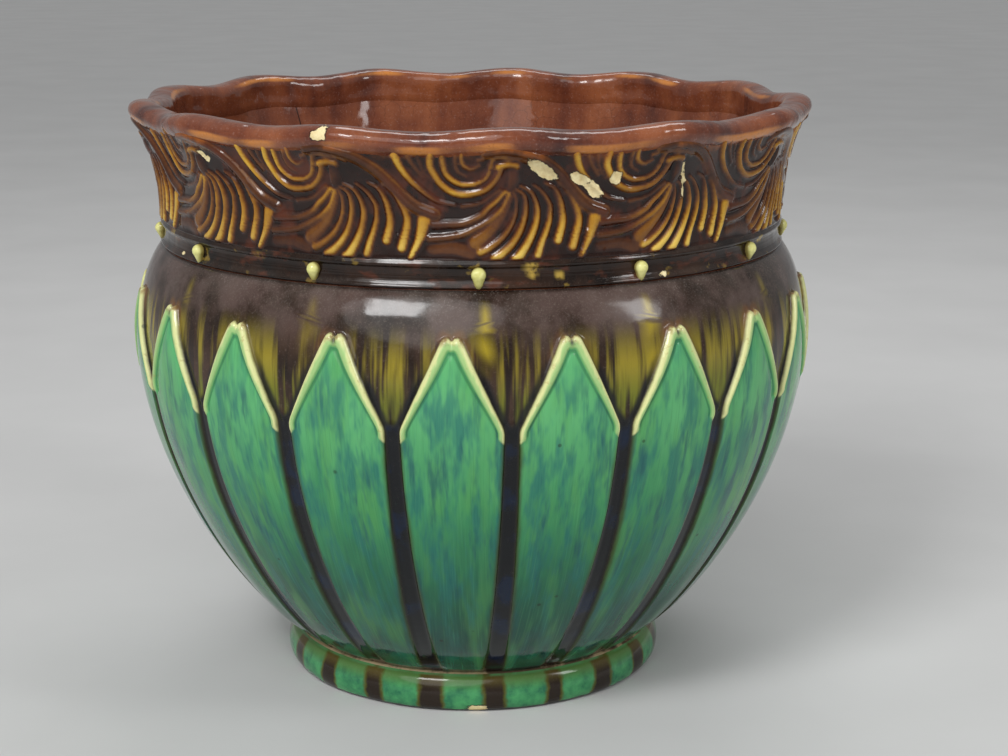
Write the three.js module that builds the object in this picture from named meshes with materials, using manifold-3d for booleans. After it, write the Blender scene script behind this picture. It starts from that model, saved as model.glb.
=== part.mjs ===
// A glazed earthenware jardiniere, 230 mm tall, standing on its own foot ring. Millimetres, +Z up.
// The pot is built up the way a potter luts it together: foot ring, leaf-moulded bowl, collar,
// neck band over their joint, rolled rim, thirteen scroll sprigs and thirteen clay pellets.
// Azimuth is measured from the front (-Y) towards +X, and z is the height above the table.
import * as THREE from "three";
import { mergeVertices } from "three/addons/utils/BufferGeometryUtils.js";
import Module from "manifold-3d";

// ---- Driving dimensions ----
const NECK_RADIUS = 122.5; // where the collar meets the shoulder
const NECK_HEIGHT = 174;
const BELLY_RADIUS = 132.7; // ground of the bowl between the leaves, at its fullest
const BELLY_HEIGHT = 141;
const WALL = 8;
const SEAM = 0.3; // slip joint between two sections

const FOOT_HEIGHT = 14.8;
const FOOT_RADIUS = 77; // at its fullest
const FOOT_TREAD = 73; // outer edge of the flat that stands on the table
const FOOT_WAIST = 72; // crease between foot ring and bowl
const FOOT_INNER = 64;
const BASE_HEIGHT = 9; // recessed underside of the bowl, inside the foot ring
const FLOOR_HEIGHT = 17; // flat floor inside the bowl
const FLOOR_RADIUS = 46;

const LEAVES = 20;
const STRIPE_AZIMUTH = 5.9; // one of the dark stripes between the leaves
const STRIPE_WIDTH_TOP = 5.2;
const STRIPE_WIDTH_FOOT = 7.2;
const LEAF_SHOULDER = 127; // height at which a leaf starts to narrow
const LEAF_TIP = 159.4;
const TIP_WIDTH = 6.6; // the tip is blunt
const LEAF_RELIEF = 1.5;
const BORDER_WIDTH = 4.3; // raised border round the pointed end of a leaf
const BORDER_RELIEF = 2.5;
const LEAF_EDGE = 0.6; // run of the slope down to the ground

const LOBES = 13;
const LOBE_AZIMUTH = 5.6; // crest of one of the rim's lobes
const LOBE_OUT = 1.9; // how far a lobe swings out at the rim
const LOBE_RISE = 1; // and how far it rises
const COLLAR_FOOT = 184.3; // lower edge of the frieze
const COLLAR_TOP = 222.6;
const COLLAR_FLARE = 8; // growth in radius over the frieze
const FLARE_POWER = 2.6; // the flare opens mostly under the rim
const COLLAR_EDGE = 8.6; // width of the top edge that carries the rim

const BAND_HEIGHT = 9.7;
const BAND_DEPTH = 4;
const BEAD_RADIUS = 2.9;
const BEAD_STAND = 4; // how far a pellet stands out of the neck band
const BEAD_HEIGHT = 179.3;
const BEAD_LAG = -4.6; // degrees from a lobe's crest to the pellet below it

const degrees = THREE.MathUtils.degToRad;
const flat = (radius, height) => new THREE.Vector2(radius, height);

// ---- Solids: closed meshes that can be joined and cut ----
const wasm = await Module();
wasm.setup();

function solidOf(geometry) {
  const bare = geometry.clone();
  bare.deleteAttribute("normal");
  bare.deleteAttribute("uv");
  const merged = mergeVertices(bare, 1e-4);
  const corners = merged.index.array;
  const kept = [];
  for (let i = 0; i < corners.length; i += 3) {
    const [a, b, c] = corners.slice(i, i + 3);
    if (a !== b && b !== c && c !== a) kept.push(a, b, c);
  }
  const vertProperties = new Float32Array(merged.attributes.position.array);
  return new wasm.Manifold(new wasm.Mesh({ numProp: 3, vertProperties, triVerts: new Uint32Array(kept) }));
}

function geometryOf(solid) {
  const { vertProperties, triVerts } = solid.getMesh();
  const geometry = new THREE.BufferGeometry();
  geometry.setAttribute("position", new THREE.BufferAttribute(vertProperties, 3));
  geometry.setIndex(new THREE.BufferAttribute(triVerts, 1));
  geometry.computeVertexNormals();
  return geometry;
}

// A profile of radii and heights turned round the pot's axis; `place` may move each point.
function turned(profile, columns, place = null) {
  const geometry = new THREE.LatheGeometry(profile, columns).rotateX(Math.PI / 2);
  if (place === null) return geometry;
  const position = geometry.attributes.position;
  for (let i = 0; i < position.count; i++) {
    const row = i % profile.length;
    const column = Math.floor(i / profile.length) % columns;
    const { azimuth, radius, height } = place(column, row, profile[row]);
    position.setXYZ(i, radius * Math.sin(azimuth), -radius * Math.cos(azimuth), height);
  }
  return geometry;
}

// ---- The bowl's wall ----
const lowerWall = new THREE.CubicBezierCurve(
  flat(FOOT_WAIST, FOOT_HEIGHT + SEAM),
  flat(FOOT_WAIST + 28, FOOT_HEIGHT + 23),
  flat(BELLY_RADIUS, BELLY_HEIGHT - 50),
  flat(BELLY_RADIUS, BELLY_HEIGHT),
);
const shoulder = new THREE.CubicBezierCurve(
  flat(BELLY_RADIUS, BELLY_HEIGHT),
  flat(BELLY_RADIUS, BELLY_HEIGHT + 14),
  flat(BELLY_RADIUS - 4, NECK_HEIGHT - 6),
  flat(NECK_RADIUS, NECK_HEIGHT),
);
const innerWall = new THREE.CubicBezierCurve(
  flat(FLOOR_RADIUS, FLOOR_HEIGHT),
  flat(FLOOR_RADIUS + 36, FLOOR_HEIGHT + 4),
  flat(BELLY_RADIUS - WALL, BELLY_HEIGHT - 56),
  flat(BELLY_RADIUS - WALL, BELLY_HEIGHT),
);
const innerShoulder = new THREE.CubicBezierCurve(
  flat(BELLY_RADIUS - WALL, BELLY_HEIGHT),
  flat(BELLY_RADIUS - WALL, BELLY_HEIGHT + 13),
  flat(BELLY_RADIUS - WALL - 4, NECK_HEIGHT - 8),
  flat(NECK_RADIUS - WALL, NECK_HEIGHT),
);

// The point of the outer wall at a height, found by halving, because height grows along both curves.
function wallRadius(height) {
  const curve = height < BELLY_HEIGHT ? lowerWall : shoulder;
  let low = 0;
  let high = 1;
  for (let i = 0; i < 30; i++) {
    const middle = (low + high) / 2;
    if (curve.getPoint(middle).y < height) low = middle;
    else high = middle;
  }
  return curve.getPoint(low).x;
}

// ---- Leaves ----
// Half the width of a leaf at a height, in millimetres along the wall.
function leafHalfWidth(height) {
  const level = Math.min(height, LEAF_SHOULDER);
  const share = (level - FOOT_HEIGHT) / (LEAF_SHOULDER - FOOT_HEIGHT);
  const stripe = THREE.MathUtils.lerp(STRIPE_WIDTH_FOOT, STRIPE_WIDTH_TOP, share);
  const full = (Math.PI / LEAVES) * wallRadius(level) - stripe / 2;
  const rise = (height - level) / (LEAF_TIP - LEAF_SHOULDER);
  return THREE.MathUtils.lerp(full, TIP_WIDTH / 2, Math.min(1, rise));
}

// Eight columns follow each leaf's outline: the stripe, the foot of the edge, the crest and the
// inner side of the border, the midrib line, and the same again mirrored.
const LEAF_COLUMNS = 8;
function leafPoint(column, height) {
  const leaf = Math.floor(column / LEAF_COLUMNS);
  const place = column % LEAF_COLUMNS;
  const side = place < LEAF_COLUMNS / 2 ? -1 : 1;
  const step = side < 0 ? place : LEAF_COLUMNS - place;
  const radius = wallRadius(height);
  const half = leafHalfWidth(height);
  const pointed = height >= LEAF_SHOULDER - 1;
  const aboveTip = Math.max(0, (height - LEAF_TIP) / (NECK_HEIGHT - LEAF_TIP));
  const pitch = (2 * Math.PI * radius) / LEAVES;
  const border = pointed ? BORDER_WIDTH : LEAF_EDGE * 2;
  const offsets = [pitch / 2, half + LEAF_EDGE, Math.max(half - border / 2, 0.7), Math.max(half - border, 0.3), 0];
  const even = (pitch / LEAF_COLUMNS) * (LEAF_COLUMNS / 2 - step);
  const offset = THREE.MathUtils.lerp(offsets[step], even, aboveTip);
  const crest = pointed ? BORDER_RELIEF : LEAF_RELIEF;
  const lifts = [0, 0, crest, LEAF_RELIEF, LEAF_RELIEF];
  const lift = height > LEAF_TIP ? 0 : lifts[step];
  const centre = degrees(STRIPE_AZIMUTH) + ((leaf + 0.5) * 2 * Math.PI) / LEAVES;
  return { azimuth: centre + (side * offset) / radius, radius: radius + lift, height };
}

function stations(low, high, steps) {
  return Array.from({ length: steps }, (_, i) => low + ((high - low) * i) / steps);
}

function makeBowl() {
  const seat = FOOT_HEIGHT + SEAM;
  const heights = [
    seat,
    30,
    56,
    90,
    LEAF_SHOULDER - 1,
    ...stations(LEAF_SHOULDER, LEAF_TIP, 3),
    LEAF_TIP,
    LEAF_TIP + 1,
    NECK_HEIGHT - 5,
    NECK_HEIGHT,
  ];
  const wall = heights.map((height) => flat(wallRadius(height), height));
  const profile = [flat(0, seat), ...wall, flat(0, NECK_HEIGHT)];
  const first = 1;
  const last = wall.length;
  const outside = turned(profile, LEAVES * LEAF_COLUMNS, (column, row, point) => {
    const onLeaf = leafPoint(column, point.y);
    if (row > first && row < last) return onLeaf;
    return { azimuth: onLeaf.azimuth, radius: point.x, height: point.y };
  });
  // The underside steps down inside the foot ring, which locates the bowl on it.
  const boss = [flat(0, BASE_HEIGHT), flat(FOOT_INNER - SEAM, BASE_HEIGHT), flat(FOOT_INNER - SEAM, seat + 1), flat(0, seat + 1)];
  const hollow = [
    flat(0, FLOOR_HEIGHT),
    ...innerWall.getPoints(6),
    ...innerShoulder.getPoints(2).slice(1),
    flat(NECK_RADIUS - WALL, NECK_HEIGHT + 5),
    flat(0, NECK_HEIGHT + 5),
  ];
  const walls = solidOf(outside).add(solidOf(turned(boss, 40)));
  return geometryOf(walls.subtract(solidOf(turned(hollow, 40))));
}

// ---- Foot ring ----
function makeFootRing() {
  const crest = FOOT_HEIGHT * 0.56;
  const profile = [
    flat(FOOT_INNER + 2, 0),
    flat(FOOT_TREAD, 0),
    ...new THREE.QuadraticBezierCurve(flat(FOOT_TREAD + 1.4, 0.6), flat(FOOT_RADIUS, 2.6), flat(FOOT_RADIUS, crest)).getPoints(2),
    ...new THREE.QuadraticBezierCurve(
      flat(FOOT_RADIUS - 0.5, crest + 0.7),
      flat(FOOT_RADIUS - 1.2, FOOT_HEIGHT - 1.6),
      flat(FOOT_WAIST + 0.4, FOOT_HEIGHT),
    ).getPoints(2),
    flat(FOOT_INNER, FOOT_HEIGHT),
    flat(FOOT_INNER, 2.5),
  ];
  return turned([...profile, profile[0].clone()], 40);
}

// ---- Collar, with lobes that grow towards the rim ----
const flareShare = (height) => Math.max(0, (height - COLLAR_FOOT) / (COLLAR_TOP - COLLAR_FOOT));
const collarRadius = (height) => NECK_RADIUS + COLLAR_FLARE * flareShare(height) ** FLARE_POWER;
const lobeWave = (azimuth) => Math.cos(LOBES * (azimuth - degrees(LOBE_AZIMUTH)));

// A point of the upright, unlobed collar moved to its place on the lobed one.
function lobed(azimuth, radius, height) {
  const share = flareShare(height);
  const wave = lobeWave(azimuth);
  return {
    azimuth,
    radius: radius + LOBE_OUT * wave * share ** 1.5,
    height: height + LOBE_RISE * wave * share ** 2,
  };
}

function makeCollar() {
  const columns = LOBES * 6;
  const innerFoot = NECK_RADIUS - WALL;
  const tongue = NECK_RADIUS - BAND_DEPTH - SEAM;
  const seat = NECK_HEIGHT + SEAM;
  const topInner = collarRadius(COLLAR_TOP) - COLLAR_EDGE;
  const outer = [...stations(COLLAR_FOOT, COLLAR_TOP, 4), COLLAR_TOP].map((height) => flat(collarRadius(height), height));
  const inner = [0, 0.33, 0.67].map((share) => {
    const height = THREE.MathUtils.lerp(COLLAR_TOP, seat + 4, share);
    return flat(THREE.MathUtils.lerp(topInner, innerFoot, 1 - (1 - share) ** 1.6), height);
  });
  const profile = [flat(innerFoot, seat), flat(tongue, seat), flat(tongue, COLLAR_FOOT), ...outer, ...inner];
  const closed = [...profile, profile[0].clone()];
  return turned(closed, columns, (column, row, point) => lobed((column / columns) * 2 * Math.PI, point.x, point.y));
}

// ---- Rolled rim: a coil laid on the collar's top edge, higher inside and drooping outside ----
const RIM_CENTRE = collarRadius(COLLAR_TOP) - COLLAR_EDGE / 2;
const RIM_SECTION = [
  [-4.4, 0],
  [4.4, 0],
  [5.7, 0.6],
  [6.3, 2.4],
  [5.5, 4.5],
  [3.2, 6.0],
  [0, 6.6],
  [-3.2, 6.1],
  [-5.3, 4.5],
  [-5.9, 2.2],
];

function makeRim() {
  const columns = LOBES * 6;
  const profile = RIM_SECTION.map(([across, up]) => flat(RIM_CENTRE + across, COLLAR_TOP + SEAM + up));
  const closed = [...profile, profile[0].clone()];
  return turned(closed, columns, (column, row, point) => {
    const azimuth = (column / columns) * 2 * Math.PI;
    const edge = lobed(azimuth, RIM_CENTRE, COLLAR_TOP);
    return { azimuth, radius: point.x + edge.radius - RIM_CENTRE, height: point.y + edge.height - COLLAR_TOP };
  });
}

// ---- Neck band: a fillet at each edge with a shallow cove between ----
function makeNeckBand() {
  const low = NECK_HEIGHT + SEAM;
  const high = NECK_HEIGHT + BAND_HEIGHT;
  const profile = [
    flat(NECK_RADIUS - BAND_DEPTH, low),
    flat(NECK_RADIUS + 0.2, low),
    flat(NECK_RADIUS + 0.9, low + 0.9),
    flat(NECK_RADIUS - 0.2, low + 2),
    flat(NECK_RADIUS - 0.3, high - 1.9),
    flat(NECK_RADIUS + 0.7, high - 1),
    flat(NECK_RADIUS, high),
    flat(NECK_RADIUS - BAND_DEPTH, high),
  ];
  return turned([...profile, profile[0].clone()], 48);
}

// ---- Clay pellets on the neck band ----
function makeBead() {
  const profile = [flat(0, 0), flat(BEAD_RADIUS * 0.86, 0)];
  for (const angle of [8, 45]) {
    profile.push(flat(BEAD_RADIUS * Math.cos(degrees(angle)), BEAD_STAND * (0.3 + 0.7 * Math.sin(degrees(angle)))));
  }
  profile.push(flat(0, BEAD_STAND));
  return new THREE.LatheGeometry(profile, 8);
}

// ---- Scroll sprigs: a wave that curls over a fan of flutes, in millimetres from the fan's hub ----
const SCROLL_RADIUS = 126; // radius at which distances along the frieze are measured
const FRIEZE_TOP = 48; // above the neck, just under the rolled rim
const FLUTES = [
  [[-2.6, 41.4], [-6.2, 28.6], [-14.6, 23.4], [-23.6, 21.4]],
  [[-0.8, 43.0], [-2.6, 27.6], [-9.4, 20.6], [-18.4, 16.4]],
  [[1.0, 43.6], [2.3, 31.0], [0.2, 22.0], [-7.0, 12.4]],
  [[2.8, 44.0], [4.6, 30.0], [2.2, 20.0], [-3.4, 10.9]],
  [[4.8, 44.4], [8.0, 30.6], [6.8, 20.0], [1.4, 10.6]],
  [[7.0, 44.4], [12.0, 31.2], [11.4, 19.6], [7.0, 10.9]],
  [[11.0, 43.9], [17.0, 31.6], [17.2, 20.8], [14.6, 13.4]],
  [[16.4, 41.6], [23.2, 30.0], [24.4, 20.0], [22.6, 14.6]],
];
const CREST = {
  line: [[-1.9, 43.4], [4.5, 45.6], [11.5, 44.9], [18.8, 40.8], [26.6, 33.4], [31.6, 22.9], [29.6, 10.8]],
  width: 7.4,
  rise: 1.8,
  ends: [0.5, 0.55],
  steps: 7,
};
const CURLS = [
  {
    line: [[-24.8, 47.6], [-21.4, 37.8], [-14.2, 33.5], [-6.6, 36.4], [-1.9, 43.4]],
    width: 3.4,
    rise: 1.5,
    ends: [0.8, 0.9],
    steps: 6,
  },
  {
    line: [[-29.6, 34.8], [-21.5, 29.6], [-12.5, 28.7], [-6.4, 30.8]],
    width: 2.8,
    rise: 1.2,
    ends: [0.4, 0.8],
    steps: 3,
  },
];

// A point of the frieze: along it from the hub, above the neck, and proud of the collar.
function friezePoint(azimuth, along, above, proud) {
  const height = NECK_HEIGHT + Math.min(above, FRIEZE_TOP);
  const at = lobed(azimuth + along / SCROLL_RADIUS, collarRadius(height), height);
  const radius = at.radius + SEAM + proud;
  return new THREE.Vector3(radius * Math.sin(at.azimuth), -radius * Math.cos(at.azimuth), at.height);
}

const splineOf = (line) => new THREE.SplineCurve(line.map(([along, above]) => flat(along, above)));

function meshed(corners, faces) {
  const geometry = new THREE.BufferGeometry().setFromPoints(corners);
  geometry.setIndex(faces);
  return solidOf(geometry);
}

// A ridge that swells and tapers along a line: two feet on the collar and a crest between them.
function makeRidge(azimuth, { line, width, rise, ends, steps }) {
  const route = splineOf(line);
  const corners = [];
  for (let i = 0; i <= steps; i++) {
    const share = i / steps;
    const { x, y } = route.getPoint(share);
    const tangent = route.getTangent(share);
    const end = share < 0.5 ? ends[0] : ends[1];
    const swell = 1 - (1 - end) * (1 - 2 * share) ** 2;
    const half = (width / 2) * swell;
    corners.push(friezePoint(azimuth, x - tangent.y * half, y + tangent.x * half, 0));
    corners.push(friezePoint(azimuth, x, y, rise * swell));
    corners.push(friezePoint(azimuth, x + tangent.y * half, y - tangent.x * half, 0));
  }
  const faces = [0, 2, 1];
  for (let i = 0; i < steps; i++) {
    for (let k = 0; k < 3; k++) {
      const a = 3 * i + k;
      const b = 3 * i + ((k + 1) % 3);
      faces.push(a, b, a + 3, b, b + 3, a + 3);
    }
  }
  faces.push(3 * steps, 3 * steps + 1, 3 * steps + 2);
  return meshed(corners, faces);
}

// The fan: a fluted shell whose ridges run down the flutes, with a valley between each two.
const FAN_ROWS = [0, 0.4, 0.9, 1];
const FAN_RISE = [1.1, 1.5, 1.5, 0];
const VALLEY_RISE = 0.3;
const FAN_EDGE = 1.8; // run of the slope outside the first and the last flute
function makeFan(azimuth) {
  const routes = FLUTES.map(splineOf);
  const rows = FAN_ROWS.map((share, row) => {
    const ridges = routes.map((route) => route.getPoint(share));
    const points = ridges.flatMap((ridge, i) => (i === 0 ? [ridge] : [ridge.clone().lerp(ridges[i - 1], 0.5), ridge]));
    const beside = (route, side) => {
      const tangent = route.getTangent(share);
      return route.getPoint(share).add(flat(tangent.y, -tangent.x).multiplyScalar(side * FAN_EDGE));
    };
    const edged = [beside(routes[0], 1), ...points, beside(routes.at(-1), -1)];
    const rise = (i) => (i % 2 === 1 ? FAN_RISE[row] : Math.min(VALLEY_RISE, FAN_RISE[row]));
    const onRim = (i) => row === FAN_ROWS.length - 1 || i === 0 || i === edged.length - 1;
    return edged.map((point, i) => ({
      top: friezePoint(azimuth, point.x, point.y, onRim(i) ? 0 : rise(i)),
      back: friezePoint(azimuth, point.x, point.y, 0),
    }));
  });
  const width = rows[0].length;
  const corners = rows.flat().flatMap(({ top, back }) => [top, back]);
  const top = (row, i) => 2 * (row * width + i);
  const back = (row, i) => top(row, i) + 1;
  const faces = [];
  for (let row = 0; row < rows.length - 1; row++) {
    for (let i = 0; i < width - 1; i++) {
      faces.push(top(row, i), top(row + 1, i), top(row + 1, i + 1), top(row, i), top(row + 1, i + 1), top(row, i + 1));
      faces.push(back(row, i), back(row + 1, i + 1), back(row + 1, i), back(row, i), back(row, i + 1), back(row + 1, i + 1));
    }
  }
  for (let i = 0; i < width - 1; i++) {
    faces.push(top(0, i), top(0, i + 1), back(0, i), back(0, i), top(0, i + 1), back(0, i + 1));
  }
  return meshed(corners, faces);
}

function makeScroll(azimuth) {
  const ridges = [CREST, ...CURLS].map((ridge) => makeRidge(azimuth, ridge));
  // The feet of crossing ridges leave pinholes between them, which the union shows as inner skins.
  const bodies = ridges.reduce((whole, ridge) => whole.add(ridge), makeFan(azimuth)).decompose();
  const outer = bodies.filter((body) => body.volume() > 0);
  if (outer.length !== 1) throw new Error(`a scroll fell into ${outer.length} bodies`);
  return geometryOf(outer[0]);
}

// ---- Assembly ----
const glaze = (color, roughness) => new THREE.MeshStandardMaterial({ color, roughness, metalness: 0 });
const GREEN = glaze(0x2f8a5c, 0.12);
const GREEN_BROWN = glaze(0x3c6a3f, 0.12);
const UMBER = glaze(0x2a1a10, 0.1);
const HONEY = glaze(0x6a3a14, 0.12);
const AMBER = glaze(0xa5691c, 0.15);
const RUSSET = glaze(0x7b3a1c, 0.1);
const CREAM = glaze(0xc9bf78, 0.2);

const jardiniere = new THREE.Group();

function put(name, geometry, material, parent = jardiniere) {
  const mesh = new THREE.Mesh(geometry, material);
  mesh.name = name;
  parent.add(mesh);
  return mesh;
}

put("foot_ring", makeFootRing(), GREEN_BROWN);
put("bowl", makeBowl(), GREEN);
put("neck_band", makeNeckBand(), UMBER);
put("collar", makeCollar(), HONEY);
put("rim_roll", makeRim(), RUSSET);

const bead = makeBead();
for (let i = 0; i < LOBES; i++) {
  const number = String(i + 1).padStart(2, "0");
  const azimuth = degrees(LOBE_AZIMUTH) + (i * 2 * Math.PI) / LOBES;
  put(`frieze_scroll_${number}`, makeScroll(azimuth), AMBER);
  const beadAzimuth = azimuth + degrees(BEAD_LAG);
  const spoke = new THREE.Group();
  spoke.rotation.z = beadAzimuth;
  jardiniere.add(spoke);
  const pellet = put(`neck_bead_${number}`, bead, CREAM, spoke);
  pellet.position.set(0, -(NECK_RADIUS + 0.1), BEAD_HEIGHT);
  pellet.rotation.x = Math.PI;
}

export default jardiniere;
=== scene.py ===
"""A glazed earthenware jardiniere, dressed for the studio.

The pot has a foot ring, a leaf-moulded bowl, a neck band with clay pellets, a flared collar with a
wave-scroll frieze, and a rolled, lobed rim. Every section is turned from an outline drawn in edit
mode, its relief is then raised point by point, and its glaze is procedural. Sizes are in millimetres until
a mesh is written, which is in metres. Azimuth is measured from the front (-Y) towards +X.
"""

import logging
import math
from dataclasses import dataclass, field
from enum import Enum
from typing import Callable, Sequence

import bpy
import numpy as np
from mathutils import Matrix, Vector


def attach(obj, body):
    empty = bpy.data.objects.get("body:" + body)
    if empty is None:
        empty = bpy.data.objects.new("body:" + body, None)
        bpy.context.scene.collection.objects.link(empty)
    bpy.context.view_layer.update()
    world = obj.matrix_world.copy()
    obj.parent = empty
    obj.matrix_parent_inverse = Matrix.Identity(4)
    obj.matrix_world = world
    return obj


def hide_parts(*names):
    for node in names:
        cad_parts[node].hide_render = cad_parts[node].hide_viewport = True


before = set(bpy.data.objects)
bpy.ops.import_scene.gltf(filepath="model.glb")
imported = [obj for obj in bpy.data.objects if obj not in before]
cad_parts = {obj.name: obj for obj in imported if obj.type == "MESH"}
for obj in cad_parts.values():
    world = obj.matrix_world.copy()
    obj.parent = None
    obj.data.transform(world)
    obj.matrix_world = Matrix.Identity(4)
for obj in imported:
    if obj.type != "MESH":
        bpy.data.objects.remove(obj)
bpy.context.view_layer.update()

MM = 0.001
BODY = "root"
Array = np.ndarray
Colour = tuple[float, float, float]
Point = tuple[float, float]
Socket = bpy.types.NodeSocket
Outputs = dict[str, Socket]
log = logging.getLogger("jardiniere")


# ---------------------------------------------------------------- curves and fields


def smooth(low: float, high: float, value: Array) -> Array:
    """Eases from 0 at low to 1 at high."""
    share = np.clip((value - low) / (high - low), 0.0, 1.0)
    return share * share * (3.0 - 2.0 * share)


def lerp(first: Array, second: Array, share: Array) -> Array:
    """Goes straight from first at share 0 to second at share 1."""
    return first + (second - first) * share


def bell(value: Array, middle: float | Array, width: float) -> Array:
    """1 where value is at the middle, and falling off to both sides of it over the width."""
    return np.exp(-(((value - middle) / width) ** 2))


def soft_min(first: Array, second: Array, radius: float) -> Array:
    """The smaller of two fields, with the corner between them rounded.

    Args:
        first: One field.
        second: The other field.
        radius: How far from the corner the rounding starts.

    Returns:
        The rounded minimum.
    """
    overlap = np.clip(radius - np.abs(first - second), 0.0, None) / radius
    return np.minimum(first, second) - overlap**2 * radius / 4.0


def bezier(corners: Sequence[Point], steps: int) -> Array:
    """Samples a cubic Bezier curve.

    Args:
        corners: Its four control points.
        steps: How many equal steps to take.

    Returns:
        One row of two numbers for each sample.
    """
    a, b, c, d = (np.array(corner, dtype=float) for corner in corners)
    t = np.linspace(0.0, 1.0, steps + 1)[:, None]
    return (1 - t) ** 3 * a + 3 * (1 - t) ** 2 * t * b + 3 * (1 - t) * t**2 * c + t**3 * d


def through(points: Sequence[Point], steps: int, closed: bool = False) -> Array:
    """Samples a smooth curve that passes through each point (Catmull-Rom).

    Args:
        points: The points that it passes through.
        steps: Samples between two neighbouring points.
        closed: Whether the curve returns to its first point.

    Returns:
        One row of two numbers for each sample; a closed curve repeats its first one.
    """
    knots = np.array(points, dtype=float)
    if closed:
        knots = np.vstack([knots[-1], knots, knots[0], knots[1]])
    else:
        knots = np.vstack([2 * knots[0] - knots[1], knots, 2 * knots[-1] - knots[-2]])
    t = np.linspace(0.0, 1.0, steps, endpoint=False)[:, None]
    spans = []
    for p0, p1, p2, p3 in zip(knots, knots[1:], knots[2:], knots[3:]):
        slope = (p2 - p0) / 2
        bend = p0 - 2.5 * p1 + 2 * p2 - p3 / 2
        twist = (p3 - p0) / 2 + 1.5 * (p1 - p2)
        spans.append(p1 + slope * t + bend * t**2 + twist * t**3)
    return np.vstack([*spans, knots[-2]])


def random_share(index: Array, seed: int) -> Array:
    """A number between 0 and 1 for each index, always the same for the same seed."""
    return np.random.default_rng(seed).uniform(0.0, 1.0, int(index.max()) + 1)[index]


def wander(azimuth: Array, height: Array, seed: int, waves: int = 7) -> Array:
    """A gentle unevenness over the pot's wall, between about -1 and 1, the same at 0 and 360 degrees.

    Args:
        azimuth: In radians.
        height: In millimetres.
        seed: Picks one of many such fields.
        waves: How many waves are added up.

    Returns:
        The unevenness at each point.
    """
    random = np.random.default_rng(seed)
    total = np.zeros(np.broadcast(azimuth, height).shape)
    for _ in range(waves):
        turns = random.integers(2, 16)
        climb = random.uniform(0.02, 0.12) * random.choice([-1, 1])
        total = total + np.cos(turns * azimuth + climb * height + random.uniform(0, 2 * math.pi))
    return total / math.sqrt(waves) / 1.4


# ---------------------------------------------------------------- the pot's form


@dataclass(frozen=True)
class PotForm:
    """The pot's driving sizes in millimetres, and the surfaces that follow from them."""

    neck_radius: float = 122.5
    neck_height: float = 174.0
    belly_radius: float = 132.7
    belly_height: float = 141.0
    wall: float = 8.0
    foot_height: float = 14.8
    foot_radius: float = 77.0
    foot_tread: float = 73.0
    foot_waist: float = 72.0
    foot_inner: float = 64.0
    base_height: float = 9.0
    floor_height: float = 17.0
    floor_radius: float = 46.0
    lobes: int = 13
    lobe_azimuth: float = math.radians(5.6)
    lobe_out: float = 1.9
    lobe_rise: float = 1.0
    collar_foot: float = 184.3
    collar_top: float = 222.6
    collar_flare: float = 8.0
    flare_power: float = 2.6
    collar_edge: float = 8.6

    def outer_wall(self) -> Array:
        """The bowl's outer wall from the crease above the foot to the neck, as radii and heights.

        Returns:
            One row of a radius and a height for each sample.
        """
        waist, seat = self.foot_waist, self.foot_height + 0.3
        belly, middle, neck, top = self.belly_radius, self.belly_height, self.neck_radius, self.neck_height
        lower = bezier([(waist, seat), (waist + 28, seat + 22.7), (belly, middle - 50), (belly, middle)], 400)
        upper = bezier([(belly, middle), (belly, middle + 14), (belly - 4, top - 6), (neck, top)], 200)
        return np.vstack([lower, upper[1:]])

    def inner_wall(self) -> Array:
        """The bowl's inner wall from the edge of its floor to the neck, as radii and heights.

        Returns:
            One row of a radius and a height for each sample.
        """
        floor, low = self.floor_radius, self.floor_height
        belly, middle = self.belly_radius - self.wall, self.belly_height
        neck, top = self.neck_radius - self.wall, self.neck_height
        lower = bezier([(floor, low), (floor + 36, low + 4), (belly, middle - 56), (belly, middle)], 200)
        upper = bezier([(belly, middle), (belly, middle + 13), (belly - 4, top - 8), (neck, top)], 100)
        return np.vstack([lower, upper[1:]])

    def wall_radius(self, height: Array) -> Array:
        """The radius of the bowl's ground at a height."""
        wall = self.outer_wall()
        return np.interp(height, wall[:, 1], wall[:, 0])

    def flare_share(self, height: Array) -> Array:
        """How far up the frieze a height lies, from 0 at its foot to 1 at the collar's top."""
        return np.clip((height - self.collar_foot) / (self.collar_top - self.collar_foot), 0.0, None)

    def collar_radius(self, height: Array) -> Array:
        """The radius of the collar's ground at a height, before the lobes."""
        return self.neck_radius + self.collar_flare * self.flare_share(height) ** self.flare_power

    def lobe_wave(self, azimuth: Array) -> Array:
        """1 on the crest of a lobe and -1 between two."""
        return np.cos(self.lobes * (azimuth - self.lobe_azimuth))

    def lobed(self, azimuth: Array, radius: Array, height: Array) -> tuple[Array, Array]:
        """Moves points of the plain collar out and up with the lobes.

        Args:
            azimuth: In radians.
            radius: Of the plain collar.
            height: Of the plain collar.

        Returns:
            The lobed radius and height.
        """
        share = self.flare_share(height)
        wave = self.lobe_wave(azimuth)
        return radius + self.lobe_out * wave * share**1.5, height + self.lobe_rise * wave * share**2


FORM = PotForm()


# ---------------------------------------------------------------- modelling


def clear_selection() -> None:
    """Leaves object mode as the mode and nothing selected, so that an operator acts on new work only."""
    if bpy.context.object is not None and bpy.context.object.mode != "OBJECT":
        bpy.ops.object.mode_set(mode="OBJECT")
    bpy.ops.object.select_all(action="DESELECT")


def face_outwards(thing: bpy.types.Object) -> None:
    """Turns every face of a closed mesh outwards and shades it smooth.

    Args:
        thing: The mesh object.
    """
    clear_selection()
    thing.select_set(True)
    bpy.context.view_layer.objects.active = thing
    bpy.ops.object.mode_set(mode="EDIT")
    bpy.ops.mesh.select_all(action="SELECT")
    bpy.ops.mesh.normals_make_consistent(inside=False)
    bpy.ops.object.mode_set(mode="OBJECT")
    bpy.ops.object.shade_smooth()


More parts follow.
